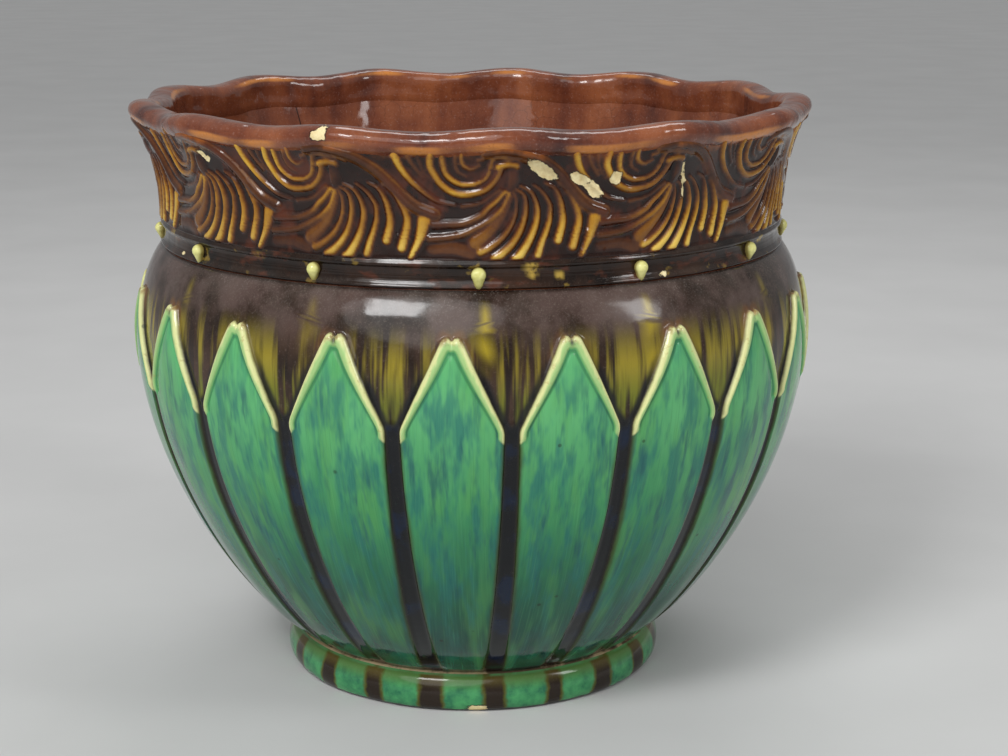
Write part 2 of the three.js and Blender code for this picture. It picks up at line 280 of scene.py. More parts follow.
def mark_points(thing: bpy.types.Object, name: str, values: Array) -> None:
    """Keeps a value, or a row of three, for each point of a mesh, for the glaze to read.

    Args:
        thing: The mesh object.
        name: The attribute's name.
        values: One number or three numbers for each point.
    """
    kind, key = ("FLOAT", "value") if values.ndim == 1 else ("FLOAT_VECTOR", "vector")
    marks = thing.data.attributes.new(name, kind, "POINT")
    marks.data.foreach_set(key, values.astype(np.float32).ravel())


def put_points(thing: bpy.types.Object, azimuth: Array, radius: Array, height: Array) -> None:
    """Puts every point of a mesh at a place round the pot's axis.

    Args:
        thing: The mesh object.
        azimuth: In radians.
        radius: In millimetres.
        height: In millimetres.
    """
    spots = np.stack([radius * np.sin(azimuth), -radius * np.cos(azimuth), height], axis=1) * MM
    thing.data.vertices.foreach_set("co", spots.astype(np.float32).ravel())
    thing.data.update()


@dataclass
class Turned:
    """A piece turned round the pot's axis, whose points are known by their place on the outline.

    Attributes:
        thing: The mesh object.
        station: For each point, the index of its outline point.
        column: For each point, its column round the pot.
        columns: How many columns there are.
    """

    thing: bpy.types.Object
    station: Array
    column: Array
    columns: int

    def share(self) -> Array:
        """Each point's column as a share of the whole turn."""
        return self.column / self.columns

    def place(self, azimuth: Array, radius: Array, height: Array) -> None:
        """Puts every point at a place given in radians and millimetres."""
        put_points(self.thing, azimuth, radius, height)

    def mark(self, name: str, values: Array) -> None:
        """Keeps a number, or a row of three, for each point, for the glaze to read."""
        mark_points(self.thing, name, values)

    def finish(self) -> bpy.types.Object:
        """Faces the closed shell outwards and shades it smooth.

        Returns:
            Its object.
        """
        self.thing.data.attributes.remove(self.thing.data.attributes["station"])
        face_outwards(self.thing)
        return self.thing


def turn(name: str, outline: Array, columns: int, repeats: int) -> Turned:
    """Draws an outline with the extrude tool, spins it through one repeat, and arrays that round the axis.

    Args:
        name: The piece's name.
        outline: Radii and heights in millimetres, in order.
        columns: Steps of the whole turn.
        repeats: How many equal parts it is made of.

    Returns:
        The turned piece, with its doubles merged.
    """
    clear_selection()
    bpy.ops.mesh.primitive_plane_add(size=MM, location=(0.0, 0.0, 0.0))
    thing = bpy.context.object
    thing.name = thing.data.name = name
    bpy.ops.object.mode_set(mode="EDIT")
    bpy.ops.mesh.select_all(action="SELECT")
    bpy.ops.mesh.merge(type="CENTER")
    bpy.ops.transform.translate(value=(outline[0][0] * MM, 0.0, outline[0][1] * MM))
    for across, up in np.diff(outline, axis=0) * MM:
        bpy.ops.mesh.extrude_region_move(TRANSFORM_OT_translate={"value": (across, 0.0, up)})
    bpy.ops.object.mode_set(mode="OBJECT")
    drawn = np.zeros(len(thing.data.vertices) * 3)
    thing.data.vertices.foreach_get("co", drawn)
    spots = drawn.reshape(-1, 3)[:, [0, 2]] / MM
    nearest = np.linalg.norm(spots[:, None, :] - outline[None, :, :], axis=2).argmin(axis=1)
    marks = thing.data.attributes.new("station", "INT", "POINT")
    marks.data.foreach_set("value", nearest.astype(np.int32))
    bpy.ops.object.mode_set(mode="EDIT")
    bpy.ops.mesh.select_all(action="SELECT")
    part = 2 * math.pi / repeats
    centre = {"center": (0.0, 0.0, 0.0), "axis": (0.0, 0.0, 1.0)}
    bpy.ops.mesh.spin(steps=columns // repeats, angle=part, **centre)
    bpy.ops.object.mode_set(mode="OBJECT")
    array_round(thing, repeats)
    bpy.ops.object.mode_set(mode="EDIT")
    bpy.ops.mesh.select_all(action="SELECT")
    bpy.ops.mesh.remove_doubles(threshold=0.005 * MM)
    bpy.ops.mesh.normals_make_consistent(inside=False)
    bpy.ops.object.mode_set(mode="OBJECT")
    count = len(thing.data.vertices)
    station = np.zeros(count, dtype=np.int32)
    thing.data.attributes["station"].data.foreach_get("value", station)
    turned = np.zeros(count * 3)
    thing.data.vertices.foreach_get("co", turned)
    x, y, _ = turned.reshape(-1, 3).T
    column = np.rint(np.arctan2(x, -y) / (2 * math.pi) * columns).astype(int) % columns
    return Turned(thing, station, column, columns)


def array_round(thing: bpy.types.Object, repeats: int) -> None:
    """Repeats a part of a turn round the pot's axis until it closes.

    Args:
        thing: The object that holds one part.
        repeats: How many parts make the whole turn.
    """
    pivot = bpy.data.objects.new("pivot", None)
    pivot.rotation_euler = (0.0, 0.0, 2 * math.pi / repeats)
    bpy.context.scene.collection.objects.link(pivot)
    array = thing.modifiers.new("round", "ARRAY")
    array.count = repeats
    array.use_relative_offset = False
    array.use_object_offset = True
    array.offset_object = pivot
    clear_selection()
    thing.select_set(True)
    bpy.context.view_layer.objects.active = thing
    bpy.ops.object.modifier_apply(modifier=array.name)
    bpy.data.objects.remove(pivot)


def dress(piece: Turned, finishes: Sequence[bpy.types.Material], choice: Array | None = None) -> None:
    """Gives a piece its glazes.

    Args:
        piece: The turned piece.
        finishes: Its materials, one for each slot.
        choice: For each outline point, the slot of the faces beside it, where there is more than one.
    """
    mesh = piece.thing.data
    for finish in finishes:
        mesh.materials.append(finish)
    if choice is None:
        return
    corners = np.zeros(len(mesh.loops), dtype=np.int32)
    mesh.loops.foreach_get("vertex_index", corners)
    starts = np.zeros(len(mesh.polygons), dtype=np.int32)
    mesh.polygons.foreach_get("loop_start", starts)
    slots = np.maximum.reduceat(choice[piece.station][corners], starts)
    mesh.polygons.foreach_set("material_index", slots.astype(np.int32))


def hand_in(thing: bpy.types.Object, nodes: Sequence[str]) -> None:
    """Ties a finished piece to the frame.

    Args:
        thing: The piece.
        nodes: The CAD nodes that it stands for.
    """
    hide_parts(*nodes)
    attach(thing, BODY)
    log.info("%s: %d faces, for %s", thing.name, len(thing.data.polygons), ", ".join(nodes))


# ---------------------------------------------------------------- shader graphs


class Graph:
    """A node tree with short ways to add its nodes and join them."""

    def __init__(self, tree: bpy.types.NodeTree) -> None:
        """Keeps the tree that the nodes go into."""
        self.tree = tree

    def node(self, kind: str, inputs: dict[str | int, object] | None = None, **settings: object) -> bpy.types.Node:
        """Adds a node.

        Args:
            kind: Its type, such as ShaderNodeMath.
            inputs: Values or sockets for its inputs, by name or index.
            **settings: Its own properties.

        Returns:
            The new node.
        """
        made = self.tree.nodes.new(kind)
        for key, value in settings.items():
            setattr(made, key, value)
        for key, value in (inputs or {}).items():
            if isinstance(value, Socket):
                self.tree.links.new(value, made.inputs[key])
            elif isinstance(value, tuple) and made.inputs[key].type == "RGBA":
                made.inputs[key].default_value = (*value, 1.0)
            else:
                made.inputs[key].default_value = value
        return made

    def math(self, operation: str, *values: object) -> Socket:
        """One arithmetic step on numbers or sockets."""
        return self.node("ShaderNodeMath", dict(enumerate(values)), operation=operation).outputs[0]

    def times(self, *values: object) -> Socket:
        """The product of two or more numbers or sockets.

        Args:
            *values: The numbers or sockets.

        Returns:
            Their product.
        """
        total = values[0]
        for value in values[1:]:
            total = self.math("MULTIPLY", total, value)
        return total

    def plus(self, first: object, second: object) -> Socket:
        """The sum of two numbers or sockets."""
        return self.math("ADD", first, second)

    def ease(self, value: object, low: float, high: float) -> Socket:
        """Eases from 0 where value is low to 1 where it is high; low may be the larger."""
        sockets = {"Value": value, "From Min": low, "From Max": high}
        return self.node("ShaderNodeMapRange", sockets, interpolation_type="SMOOTHSTEP").outputs[0]

    def mix(self, share: object, first: object, second: object, blend: str = "MIX") -> Socket:
        """Mixes two colours.

        Args:
            share: How much of the second shows.
            first: A colour or socket.
            second: A colour or socket.
            blend: The blend type.

        Returns:
            The mixed colour.
        """
        made = self.node("ShaderNodeMix", data_type="RGBA", blend_type=blend)
        wanted = {"Factor_Float": share, "A_Color": first, "B_Color": second}
        for socket in made.inputs:
            if socket.identifier not in wanted:
                continue
            value = wanted[socket.identifier]
            if isinstance(value, Socket):
                self.tree.links.new(value, socket)
            else:
                socket.default_value = (*value, 1.0) if isinstance(value, tuple) else value
        return next(socket for socket in made.outputs if socket.identifier == "Result_Color")

    def ramp(self, value: object, stops: Sequence[tuple[float, Colour]]) -> Socket:
        """A colour that changes along a value, through the given stops.

        Args:
            value: The number or socket that it follows.
            stops: Positions from 0 to 1 and their colours, in order.

        Returns:
            The colour.
        """
        made = self.node("ShaderNodeValToRGB", {"Fac": value})
        elements = made.color_ramp.elements
        while len(elements) < len(stops):
            elements.new(0.5)
        for element, (position, colour) in zip(elements, stops):
            element.position = position
            element.color = (*colour, 1.0)
        return made.outputs["Color"]

    def noise(self, vector: object, scale: float, detail: float = 3.0, rough: float = 0.5) -> Socket:
        """Noise between 0 and 1 over a vector."""
        sockets = {"Vector": vector, "Scale": scale, "Detail": detail, "Roughness": rough}
        return self.node("ShaderNodeTexNoise", sockets, normalize=True).outputs[0]

    def swing(self, vector: object, scale: float, detail: float = 3.0, rough: float = 0.5) -> Socket:
        """Noise between -0.5 and 0.5 over a vector."""
        return self.math("SUBTRACT", self.noise(vector, scale, detail, rough), 0.5)

    def place(self) -> Socket:
        """The point's place on the pot, in metres."""
        return self.node("ShaderNodeTexCoord").outputs["Object"]

    def level(self, place: object) -> Socket:
        """The height of a place on the pot, in millimetres."""
        return self.times(self.split(place)[2], 1.0 / MM)

    def mark(self, name: str, vector: bool = False) -> Socket:
        """A value that the mesh keeps for each point."""
        made = self.node("ShaderNodeAttribute", attribute_name=name)
        return made.outputs["Vector" if vector else "Fac"]

    def scaled(self, vector: object, scale: Sequence[float]) -> Socket:
        """A vector stretched along its axes."""
        sockets = {0: vector, 1: tuple(scale)}
        return self.node("ShaderNodeVectorMath", sockets, operation="MULTIPLY").outputs[0]

    def split(self, vector: object) -> tuple[Socket, ...]:
        """The three parts of a vector."""
        return tuple(self.node("ShaderNodeSeparateXYZ", {"Vector": vector}).outputs)

    def group(self, tree: bpy.types.NodeTree, **inputs: object) -> bpy.types.Node:
        """Adds a shader group.

        Args:
            tree: The shader group.
            **inputs: Its inputs, in small letters and underscores.

        Returns:
            The group's node.
        """
        made = self.node("ShaderNodeGroup", node_tree=tree)
        for key, value in inputs.items():
            socket = made.inputs[key.replace("_", " ").title()]
            if isinstance(value, Socket):
                self.tree.links.new(value, socket)
            else:
                socket.default_value = (*value, 1.0) if isinstance(value, tuple) else value
        return made


class SocketKind(Enum):
    """The kinds of socket that the shader groups use."""

    NUMBER = "NodeSocketFloat"
    VECTOR = "NodeSocketVector"
    COLOUR = "NodeSocketColor"


Sockets = dict[str, SocketKind]
Fill = Callable[[Graph, bpy.types.Node], Outputs]


def shader_group(name: str, inputs: Sockets, outputs: Sockets, fill: Fill) -> bpy.types.NodeTree:
    """Builds a shader node group with named sockets.

    Args:
        name: The group's name.
        inputs: Its input sockets.
        outputs: Its output sockets.
        fill: Adds its nodes; it is given the graph and the input node, and returns the outputs.

    Returns:
        The group's tree.
    """
    tree = bpy.data.node_groups.new(name, "ShaderNodeTree")
    for socket, kind in inputs.items():
        tree.interface.new_socket(socket, in_out="INPUT", socket_type=kind.value)
    for socket, kind in outputs.items():
        tree.interface.new_socket(socket, in_out="OUTPUT", socket_type=kind.value)
    graph = Graph(tree)
    results = fill(graph, graph.node("NodeGroupInput"))
    graph.node("NodeGroupOutput", results)
    return tree


def fill_runs(g: Graph, given: bpy.types.Node) -> Outputs:
    """Streaks that run down the pot's wall, wherever on the wall they are.

    Args:
        g: The group's graph.
        given: The group's input node.

    Returns:
        The group's outputs, by name.
    """
    x, y, z = g.split(given.outputs["Place"])
    flat = g.node("ShaderNodeCombineXYZ", {"X": x, "Y": y, "Z": 0.0}).outputs[0]
    outward = g.node("ShaderNodeVectorMath", {0: flat}, operation="NORMALIZE").outputs[0]
    across = g.math("DIVIDE", 0.128, given.outputs["Width"])
    wrapped = g.node("ShaderNodeVectorMath", {0: outward, "Scale": across}, operation="SCALE").outputs[0]
    down = g.math("DIVIDE", z, given.outputs["Length"])
    wide, deep, _ = g.split(wrapped)
    vector = g.node("ShaderNodeCombineXYZ", {"X": wide, "Y": deep, "Z": down}).outputs[0]
    return {"Field": g.noise(vector, 1.0, 3.0, 0.55)}


def fill_specks(g: Graph, given: bpy.types.Node) -> Outputs:
    """Small round specks, on a share of the cells of a loose grid.

    Args:
        g: The group's graph.
        given: The group's input node.

    Returns:
        The group's outputs, by name.
    """
    sockets = {"Vector": given.outputs["Place"], "Scale": g.math("DIVIDE", 1.0, given.outputs["Spacing"])}
    cells = g.node("ShaderNodeTexVoronoi", sockets, feature="F1")
    draw, size, _ = g.split(cells.outputs["Color"])
    chosen = g.math("LESS_THAN", draw, given.outputs["Share"])
    reach = g.plus(0.08, g.times(size, 0.16))
    near = g.math("SUBTRACT", 1.0, g.math("DIVIDE", cells.outputs["Distance"], reach))
    return {"Mask": g.times(chosen, g.ease(near, 0.0, 0.5))}


def fill_crazing(g: Graph, given: bpy.types.Node) -> Outputs:
    """The fine net of cracks in an old glaze.

    Args:
        g: The group's graph.
        given: The group's input node.

    Returns:
        The group's outputs, by name.
    """
    place = given.outputs["Place"]
    sockets = {"Vector": place, "Scale": 260.0, "Detail": 2.0}
    bend = g.node("ShaderNodeTexNoise", sockets).outputs["Color"]
    shift = g.node("ShaderNodeVectorMath", {0: bend, "Scale": 0.0035}, operation="SCALE").outputs[0]
    moved = g.node("ShaderNodeVectorMath", {0: place, 1: shift}, operation="ADD").outputs[0]
    sockets = {"Vector": moved, "Scale": g.math("DIVIDE", 1.0, given.outputs["Spacing"])}
    cells = g.node("ShaderNodeTexVoronoi", sockets, feature="DISTANCE_TO_EDGE")
    width = g.math("DIVIDE", given.outputs["Width"], given.outputs["Spacing"])
    near = g.math("SUBTRACT", 1.0, g.math("DIVIDE", cells.outputs["Distance"], width))
    patchy = g.ease(g.noise(place, 60.0, 2.0), 0.42, 0.6)
    return {"Mask": g.times(g.ease(near, 0.0, 0.6), patchy)}


def fill_pooling(g: Graph, given: bpy.types.Node) -> Outputs:
    """The slow waves and fine orange peel of a poured glaze, as a height in millimetres.

    Args:
        g: The group's graph.
        given: The group's input node.

    Returns:
        The group's outputs, by name.
    """
    place = given.outputs["Place"]
    waves = g.swing(place, 70.0, 2.0)
    peel = g.swing(place, 900.0, 2.0)
    height = g.plus(g.times(waves, given.outputs["Waves"]), g.times(peel, given.outputs["Peel"]))
    return {"Height": height}


def fill_dust(g: Graph, given: bpy.types.Node) -> Outputs:
    """A dull film and fine grains that settle where the wall faces up.

    Args:
        g: The group's graph.
        given: The group's input node.

    Returns:
        The group's outputs, by name.
    """
    up = g.split(g.node("ShaderNodeNewGeometry").outputs["Normal"])[2]
    place = given.outputs["Place"]
    grains = g.ease(g.noise(place, 1500.0, 2.0, 0.7), 0.5, 0.72)
    clouds = g.ease(g.noise(place, 55.0, 4.0, 0.6), 0.35, 0.7)
    film = g.times(g.ease(up, -0.1, 0.7), g.plus(g.times(grains, 0.6), g.times(clouds, 0.5)))
    return {"Mask": g.times(film, given.outputs["Amount"])}


def fill_chips(g: Graph, given: bpy.types.Node) -> Outputs:
    """Bare biscuit where the glaze has flaked off, from a distance inside the flake in millimetres.

    Args:
        g: The group's graph.
        given: The group's input node.

    Returns:
        The group's outputs, by name.
    """
    place = given.outputs["Place"]
    ragged = g.times(g.swing(place, 430.0, 5.0, 0.72), 2.6)
    inside = g.plus(given.outputs["Inside"], ragged)
    mask = g.ease(inside, -0.08, 0.08)
    rim = g.times(g.ease(inside, -0.5, -0.1), g.math("SUBTRACT", 1.0, mask))
    clay = g.ramp(g.noise(place, 420.0, 5.0, 0.65), [(0.3, (0.72, 0.55, 0.26)), (0.62, (0.92, 0.80, 0.47))])
    return {"Mask": mask, "Rim": rim, "Clay": clay}


@dataclass
class GlazeTools:
    """The shader groups that the glazes share."""

    runs: bpy.types.NodeTree = field(init=False)
    specks: bpy.types.NodeTree = field(init=False)
    crazing: bpy.types.NodeTree = field(init=False)
    pooling: bpy.types.NodeTree = field(init=False)
    dust: bpy.types.NodeTree = field(init=False)
    chips: bpy.types.NodeTree = field(init=False)

    def __post_init__(self) -> None:
        """Builds each group once."""
        number, vector, colour = SocketKind.NUMBER, SocketKind.VECTOR, SocketKind.COLOUR
        place = {"Place": vector}
        mask = {"Mask": number}
        streak = place | {"Width": number, "Length": number}
        self.runs = shader_group("glaze_runs", streak, {"Field": number}, fill_runs)
        self.specks = shader_group("glaze_specks", place | {"Spacing": number, "Share": number}, mask, fill_specks)
        self.crazing = shader_group("glaze_crazing", place | {"Spacing": number, "Width": number}, mask, fill_crazing)
        poured = place | {"Waves": number, "Peel": number}
        self.pooling = shader_group("glaze_pooling", poured, {"Height": number}, fill_pooling)
        self.dust = shader_group("settled_dust", place | {"Amount": number}, mask, fill_dust)
        chips = mask | {"Rim": number, "Clay": colour}
        self.chips = shader_group("glaze_chips", place | {"Inside": number}, chips, fill_chips)


TOOLS = GlazeTools()


@dataclass(frozen=True)
class Glaze:
    """What every glaze of the pot has in common: a clear, thick, glossy coat.

    Attributes:
        name: The material's name.
        gloss: Roughness of the clean glaze.
        waves: Height of the slow waves in the poured glaze, in millimetres.
        peel: Height of the orange peel, in millimetres.
        dust: How much dust lies on what faces up.
        index: Its refractive index, which sets how bright it mirrors the room.
    """

    name: str
    gloss: float = 0.07
    waves: float = 0.12
    peel: float = 0.004
    dust: float = 0.35
    index: float = 1.38

    def colour(self, g: Graph) -> Socket:
        """The glaze's own colour; each glaze gives its own."""
        raise NotImplementedError

    def flake(self, g: Graph) -> Socket | float:
        """Millimetres inside a flake in the glaze; below zero outside one."""
        return -5.0

    def relief(self, g: Graph) -> Socket | float:
        """Further fine relief in millimetres."""
        return 0.0

    def streaks(self, g: Graph, width: float, length: float) -> Socket:
        """A field of streaks of a width and length in millimetres that run down the wall."""
        return g.group(TOOLS.runs, place=g.place(), width=width * MM, length=length * MM).outputs["Field"]

    def build(self) -> bpy.types.Material:
        """Builds the material: the colour, then flakes, dust, gloss and the glaze's own unevenness.

        Returns:
            The finished material.
        """
        material = bpy.data.materials.new(self.name)
        material.use_nodes = True
        material.node_tree.nodes.clear()
        g = Graph(material.node_tree)
        place = g.place()
        chips = g.group(TOOLS.chips, place=place, inside=self.flake(g)).outputs
        dust = g.group(TOOLS.dust, place=place, amount=self.dust).outputs["Mask"]
        colour = g.mix(g.times(chips["Rim"], 0.75), self.colour(g), (0.012, 0.006, 0.004))
        colour = g.mix(g.times(dust, 0.3), colour, (0.36, 0.31, 0.27))
        colour = g.mix(chips["Mask"], colour, chips["Clay"])
        dull = g.math("MAXIMUM", g.times(dust, 0.34), g.times(chips["Mask"], 0.8))
        scuffs = g.times(g.ease(g.noise(place, 38.0, 5.0, 0.7), 0.45, 0.8), 0.09)
        rough = g.plus(g.plus(self.gloss, dull), scuffs)
        pool = g.group(TOOLS.pooling, place=place, waves=self.waves, peel=self.peel).outputs["Height"]
        height = g.plus(pool, self.relief(g))
        height = g.math("SUBTRACT", height, g.times(chips["Mask"], 0.35))
        bump = g.node("ShaderNodeBump", {"Height": height, "Distance": MM, "Strength": 1.0}).outputs[0]
        sockets = {"Base Color": colour, "Roughness": rough, "Normal": bump}
        shader = g.node("ShaderNodeBsdfPrincipled", sockets)
        shader.inputs["IOR"].default_value = self.index
        g.node("ShaderNodeOutputMaterial", {"Surface": shader.outputs[0]})
        return material


@dataclass(frozen=True)
class LeafGlaze(Glaze):
    """Brushed greens and blues inside the leaves, cream borders, and the dark ground between them."""

    black: Colour = (0.006, 0.007, 0.009)
    navy: Colour = (0.005, 0.013, 0.036)
    teal: Colour = (0.020, 0.160, 0.140)
    cream: Colour = (0.74, 0.76, 0.35)
    olive: Colour = (0.33, 0.26, 0.026)

    def leaf(self, g: Graph, edge: Socket) -> Socket:
        """The brushed field of a leaf with its border.

        Args:
            g: The material's graph.
            edge: Millimetres inside the leaf's outline.

        Returns:
            The colour.
        """
        at = g.mark("leaf_at", vector=True)
        height = g.split(at)[1]
        field_colour = self.field(g, at, height)
        stain = g.noise(g.scaled(at, (0.2, 0.05, 3.1)), 1.0, 3.0)
        hug = g.times(g.ease(g.plus(edge, g.times(stain, 2.4)), 3.1, 1.1), g.ease(height, 129.0, 119.0))
        field_colour = g.mix(g.times(hug, 0.85), field_colour, (0.040, 0.048, 0.008))
        share = g.mark("bar_share")
        in_border = g.ease(g.math("SUBTRACT", height, g.times(share, 2.2)), 121.0, 122.4)
        groove = g.times(in_border, g.ease(share, 0.95, 1.04), g.ease(share, 1.42, 1.18))
        field_colour = g.mix(g.times(groove, 0.45), field_colour, (0.010, 0.090, 0.036))
        wobble = g.times(g.swing(g.scaled(at, (0.35, 0.12, 1.9)), 1.0, 3.0), 0.7)
        border = g.mix(g.ease(g.plus(share, wobble), 0.22, 0.62), self.cream, (0.38, 0.60, 0.23))
        border = g.mix(g.ease(share, 0.72, 1.0), border, (0.13, 0.40, 0.13))
        toast = g.noise(g.place(), 330.0, 4.0, 0.65)
        border = g.mix(g.times(g.ease(toast, 0.58, 0.74), 0.45), border, (0.40, 0.29, 0.07))
        border = g.mix(g.times(g.ease(share, 0.10, -0.08), 0.85), border, (0.16, 0.11, 0.02))
        tip = g.times(g.ease(height, 155.6, 158.6), g.ease(g.noise(g.place(), 300.0, 4.0, 0.7), 0.42, 0.60))
        border = g.mix(g.times(tip, 0.8), border, (0.24, 0.095, 0.022))
        on_border = g.times(in_border, g.ease(share, 1.04, 0.95))
        coloured = g.mix(on_border, field_colour, border)
        return g.mix(g.times(g.mark("tip_speck"), 0.95), coloured, (0.010, 0.016, 0.008))

    def field(self, g: Graph, at: Socket, height: Socket) -> Socket:
        """The brushed greens of a leaf, darker towards the foot as painted shade, with soft teal patches that end in
        fine vertical hairs.

        Args:
            g: The material's graph.
            at: The place on the leaf: across, up, and a number for the leaf.
            height: In millimetres.

        Returns:
            The colour.
        """
        mottle = g.noise(g.scaled(at, (0.08, 0.030, 1.0)), 1.0, 3.0, 0.55)
        # Painted shade: the ramp darkens the leaves towards the foot, as if the light fell off down the wall; the
        # mottle is laid over it.
        level = g.plus(g.ease(height, -12.0, 158.0), g.times(g.math("SUBTRACT", mottle, 0.5), 0.36))
        stops = [
            (0.04, (0.006, 0.036, 0.030)),
            (0.20, (0.010, 0.076, 0.052)),
            (0.44, (0.026, 0.165, 0.082)),
            (0.70, (0.058, 0.300, 0.118)),
            (0.96, (0.118, 0.450, 0.172)),
        ]
        hair = g.swing(g.scaled(at, (1.7, 0.035, 2.3)), 1.0, 3.0, 0.65)
        colour = g.ramp(level, stops)
        warm = g.noise(g.scaled(at, (0.12, 0.028, 4.1)), 1.0, 2.0)
        colour = g.mix(g.times(g.ease(warm, 0.46, 0.68), 0.45), colour, (0.100, 0.350, 0.090))
        middle = g.times(g.ease(height, 20.0, 74.0), g.ease(height, 160.0, 128.0))
        brush = g.plus(g.noise(g.scaled(at, (0.15, 0.034, 1.0)), 1.0, 3.0, 0.6), g.times(hair, 0.12))
        patches = g.times(g.ease(brush, 0.43, 0.64), g.plus(0.34, g.times(middle, 0.46)))
        colour = g.mix(patches, colour, self.teal)
        deep = g.plus(g.noise(g.scaled(at, (0.22, 0.040, 1.7)), 1.0, 3.0, 0.6), g.times(hair, 0.16))
        colour = g.mix(g.times(g.ease(deep, 0.50, 0.72), middle, 0.70), colour, (0.012, 0.085, 0.110))
        colour = g.mix(g.times(g.ease(hair, 0.00, 0.24), 0.22), colour, (0.120, 0.420, 0.170))
        return g.mix(g.times(g.ease(hair, -0.02, -0.22), 0.26), colour, (0.010, 0.090, 0.062))

    def ground(self, g: Graph, edge: Socket) -> Socket:
        """The dark stripes between the leaves, and the brown shoulder above them, with a painted reflection high on it
        and painted shade under the neck band.

        Args:
            g: The material's graph.
            edge: Millimetres inside the leaf's outline, below zero here.

        Returns:
            The colour.
        """
        place = g.place()
        height = g.level(place)
        blots = g.noise(place, 70.0, 3.0)
        fine = g.noise(place, 900.0, 3.0, 0.7)
        stripe = g.mix(g.ease(blots, 0.50, 0.66), self.black, self.navy)
        stripe = g.mix(g.times(g.ease(edge, -1.2, 0.2), 0.7), stripe, (0.026, 0.022, 0.007))
        stripe = g.mix(g.times(g.ease(fine, 0.60, 0.78), 0.35), stripe, (0.075, 0.060, 0.052))
        clouds = g.noise(place, 45.0, 4.0, 0.6)
        brown = g.ramp(clouds, [(0.34, (0.016, 0.009, 0.006)), (0.66, (0.060, 0.031, 0.019))])
        # Painted reflection: a pale grey sheen high on the shoulder, standing for the bright room mirrored in the
        # glaze.
        painted_reflection = g.times(g.ease(height, 150.0, 164.0), g.ease(clouds, 0.38, 0.62))
        brown = g.mix(g.times(painted_reflection, 0.5), brown, (0.120, 0.084, 0.078))
        brown = g.mix(g.times(g.ease(fine, 0.54, 0.76), 0.35), brown, (0.150, 0.110, 0.085))
        dark_runs = self.streaks(g, 4.2, 60.0)
        dark_share = g.times(g.ease(dark_runs, 0.5, 0.38), g.ease(height, 166.0, 142.0), 0.85)
        brown = g.mix(dark_share, brown, (0.010, 0.006, 0.004))
        runs = self.streaks(g, 5.2, 60.0)
        thread = self.streaks(g, 0.9, 30.0)
        streaks = g.plus(runs, g.times(g.math("SUBTRACT", thread, 0.5), 0.14))
        lower = g.times(g.ease(height, 164.0, 146.0), g.ease(height, 123.0, 131.0))
        olive = g.mix(g.ease(height, 150.0, 134.0), self.olive, (0.170, 0.190, 0.016))
        brown = g.mix(g.times(g.ease(streaks, 0.44, 0.62), lower, 0.92), brown, olive)
        bead_run = g.mark("bead_run")
        brown = g.mix(g.math("MINIMUM", bead_run, 1.0), brown, (0.36, 0.27, 0.018))
        wobble = g.times(g.swing(place, 130.0, 3.0), 1.8)
        pool = g.times(g.ease(g.plus(edge, wobble), -3.4, -1.2), g.ease(height, 157.0, 140.0))
        brown = g.mix(g.times(pool, 0.92), brown, self.black)
        halo = g.times(g.ease(edge, -3.2, -0.6), g.ease(height, 148.0, 158.0), g.ease(clouds, 0.40, 0.60))
        brown = g.mix(g.times(halo, 0.7), brown, (0.160, 0.070, 0.022))
        # Painted shade: the shoulder goes near black in the crease just under the neck band.
        brown = g.mix(g.times(g.ease(height, 172.2, 173.8), 0.8), brown, (0.012, 0.007, 0.005))
        return g.mix(g.ease(height, 126.5, 130.5), stripe, brown)

    def colour(self, g: Graph) -> Socket:
        """Leaf or ground, by the distance to the leaf's outline.

        Args:
            g: The material's graph.

        Returns:
            The colour.
        """
        edge = g.mark("leaf_edge")
        wobble = g.times(g.swing(g.place(), 220.0, 3.0), 0.5)
        inside = g.ease(g.plus(edge, wobble), -0.25, 0.40)
        coloured = g.mix(inside, self.ground(g, edge), self.leaf(g, edge))
        specks = g.group(TOOLS.specks, place=g.place(), spacing=6.0 * MM, share=0.04).outputs["Mask"]
        coloured = g.mix(g.times(specks, 0.6), coloured, (0.012, 0.020, 0.012))
        loops = g.times(g.mark("base_loop"), g.ease(g.noise(g.place(), 160.0, 3.0), 0.3, 0.6))
        return g.mix(g.times(loops, 0.5), coloured, (0.080, 0.330, 0.130))


@dataclass(frozen=True)
class FootGlaze(Glaze):
    """Green patches below the leaves and brown ones below the stripes."""

    green: Colour = (0.070, 0.330, 0.120)
    brown: Colour = (0.020, 0.012, 0.007)

    def colour(self, g: Graph) -> Socket:
        """The patches, with an olive blend between them and painted shade, near black, where the ring turns under to
        the floor.

        Args:
            g: The material's graph.

        Returns:
            The colour.
        """
        place = g.place()
        height = g.level(place)
        wobble = g.times(g.swing(place, 110.0, 4.0, 0.6), 5.0)
        patch = g.plus(g.mark("patch"), wobble)
        mottle = g.noise(place, 190.0, 4.0, 0.6)
        green = g.ramp(mottle, [(0.32, (0.020, 0.150, 0.074)), (0.64, self.green)])
        green = g.mix(g.ease(height, 8.0, 13.5), green, (0.090, 0.200, 0.050))
        brown = g.mix(g.ease(height, 9.0, 14.0), self.brown, (0.095, 0.070, 0.012))
        blend = g.mix(g.ease(patch, -1.4, 0.1), brown, (0.085, 0.085, 0.012))
        coloured = g.mix(g.ease(patch, -0.4, 1.5), blend, green)
        line = g.times(g.ease(height, 13.6, 14.3), g.ease(g.noise(place, 150.0, 3.0), 0.32, 0.55))
        coloured = g.mix(g.times(line, 0.75), coloured, (0.100, 0.320, 0.120))
        # Painted shade: the lowest two millimetres of the ring, where it turns under to the floor, go near black.
        foot = g.ease(g.plus(height, g.times(mottle, 2.0)), 2.6, 1.5)
        return g.mix(foot, coloured, (0.006, 0.008, 0.005))

    def flake(self, g: Graph) -> Socket:
        """The nick in the foot's lower edge."""
        return g.mark("flake")


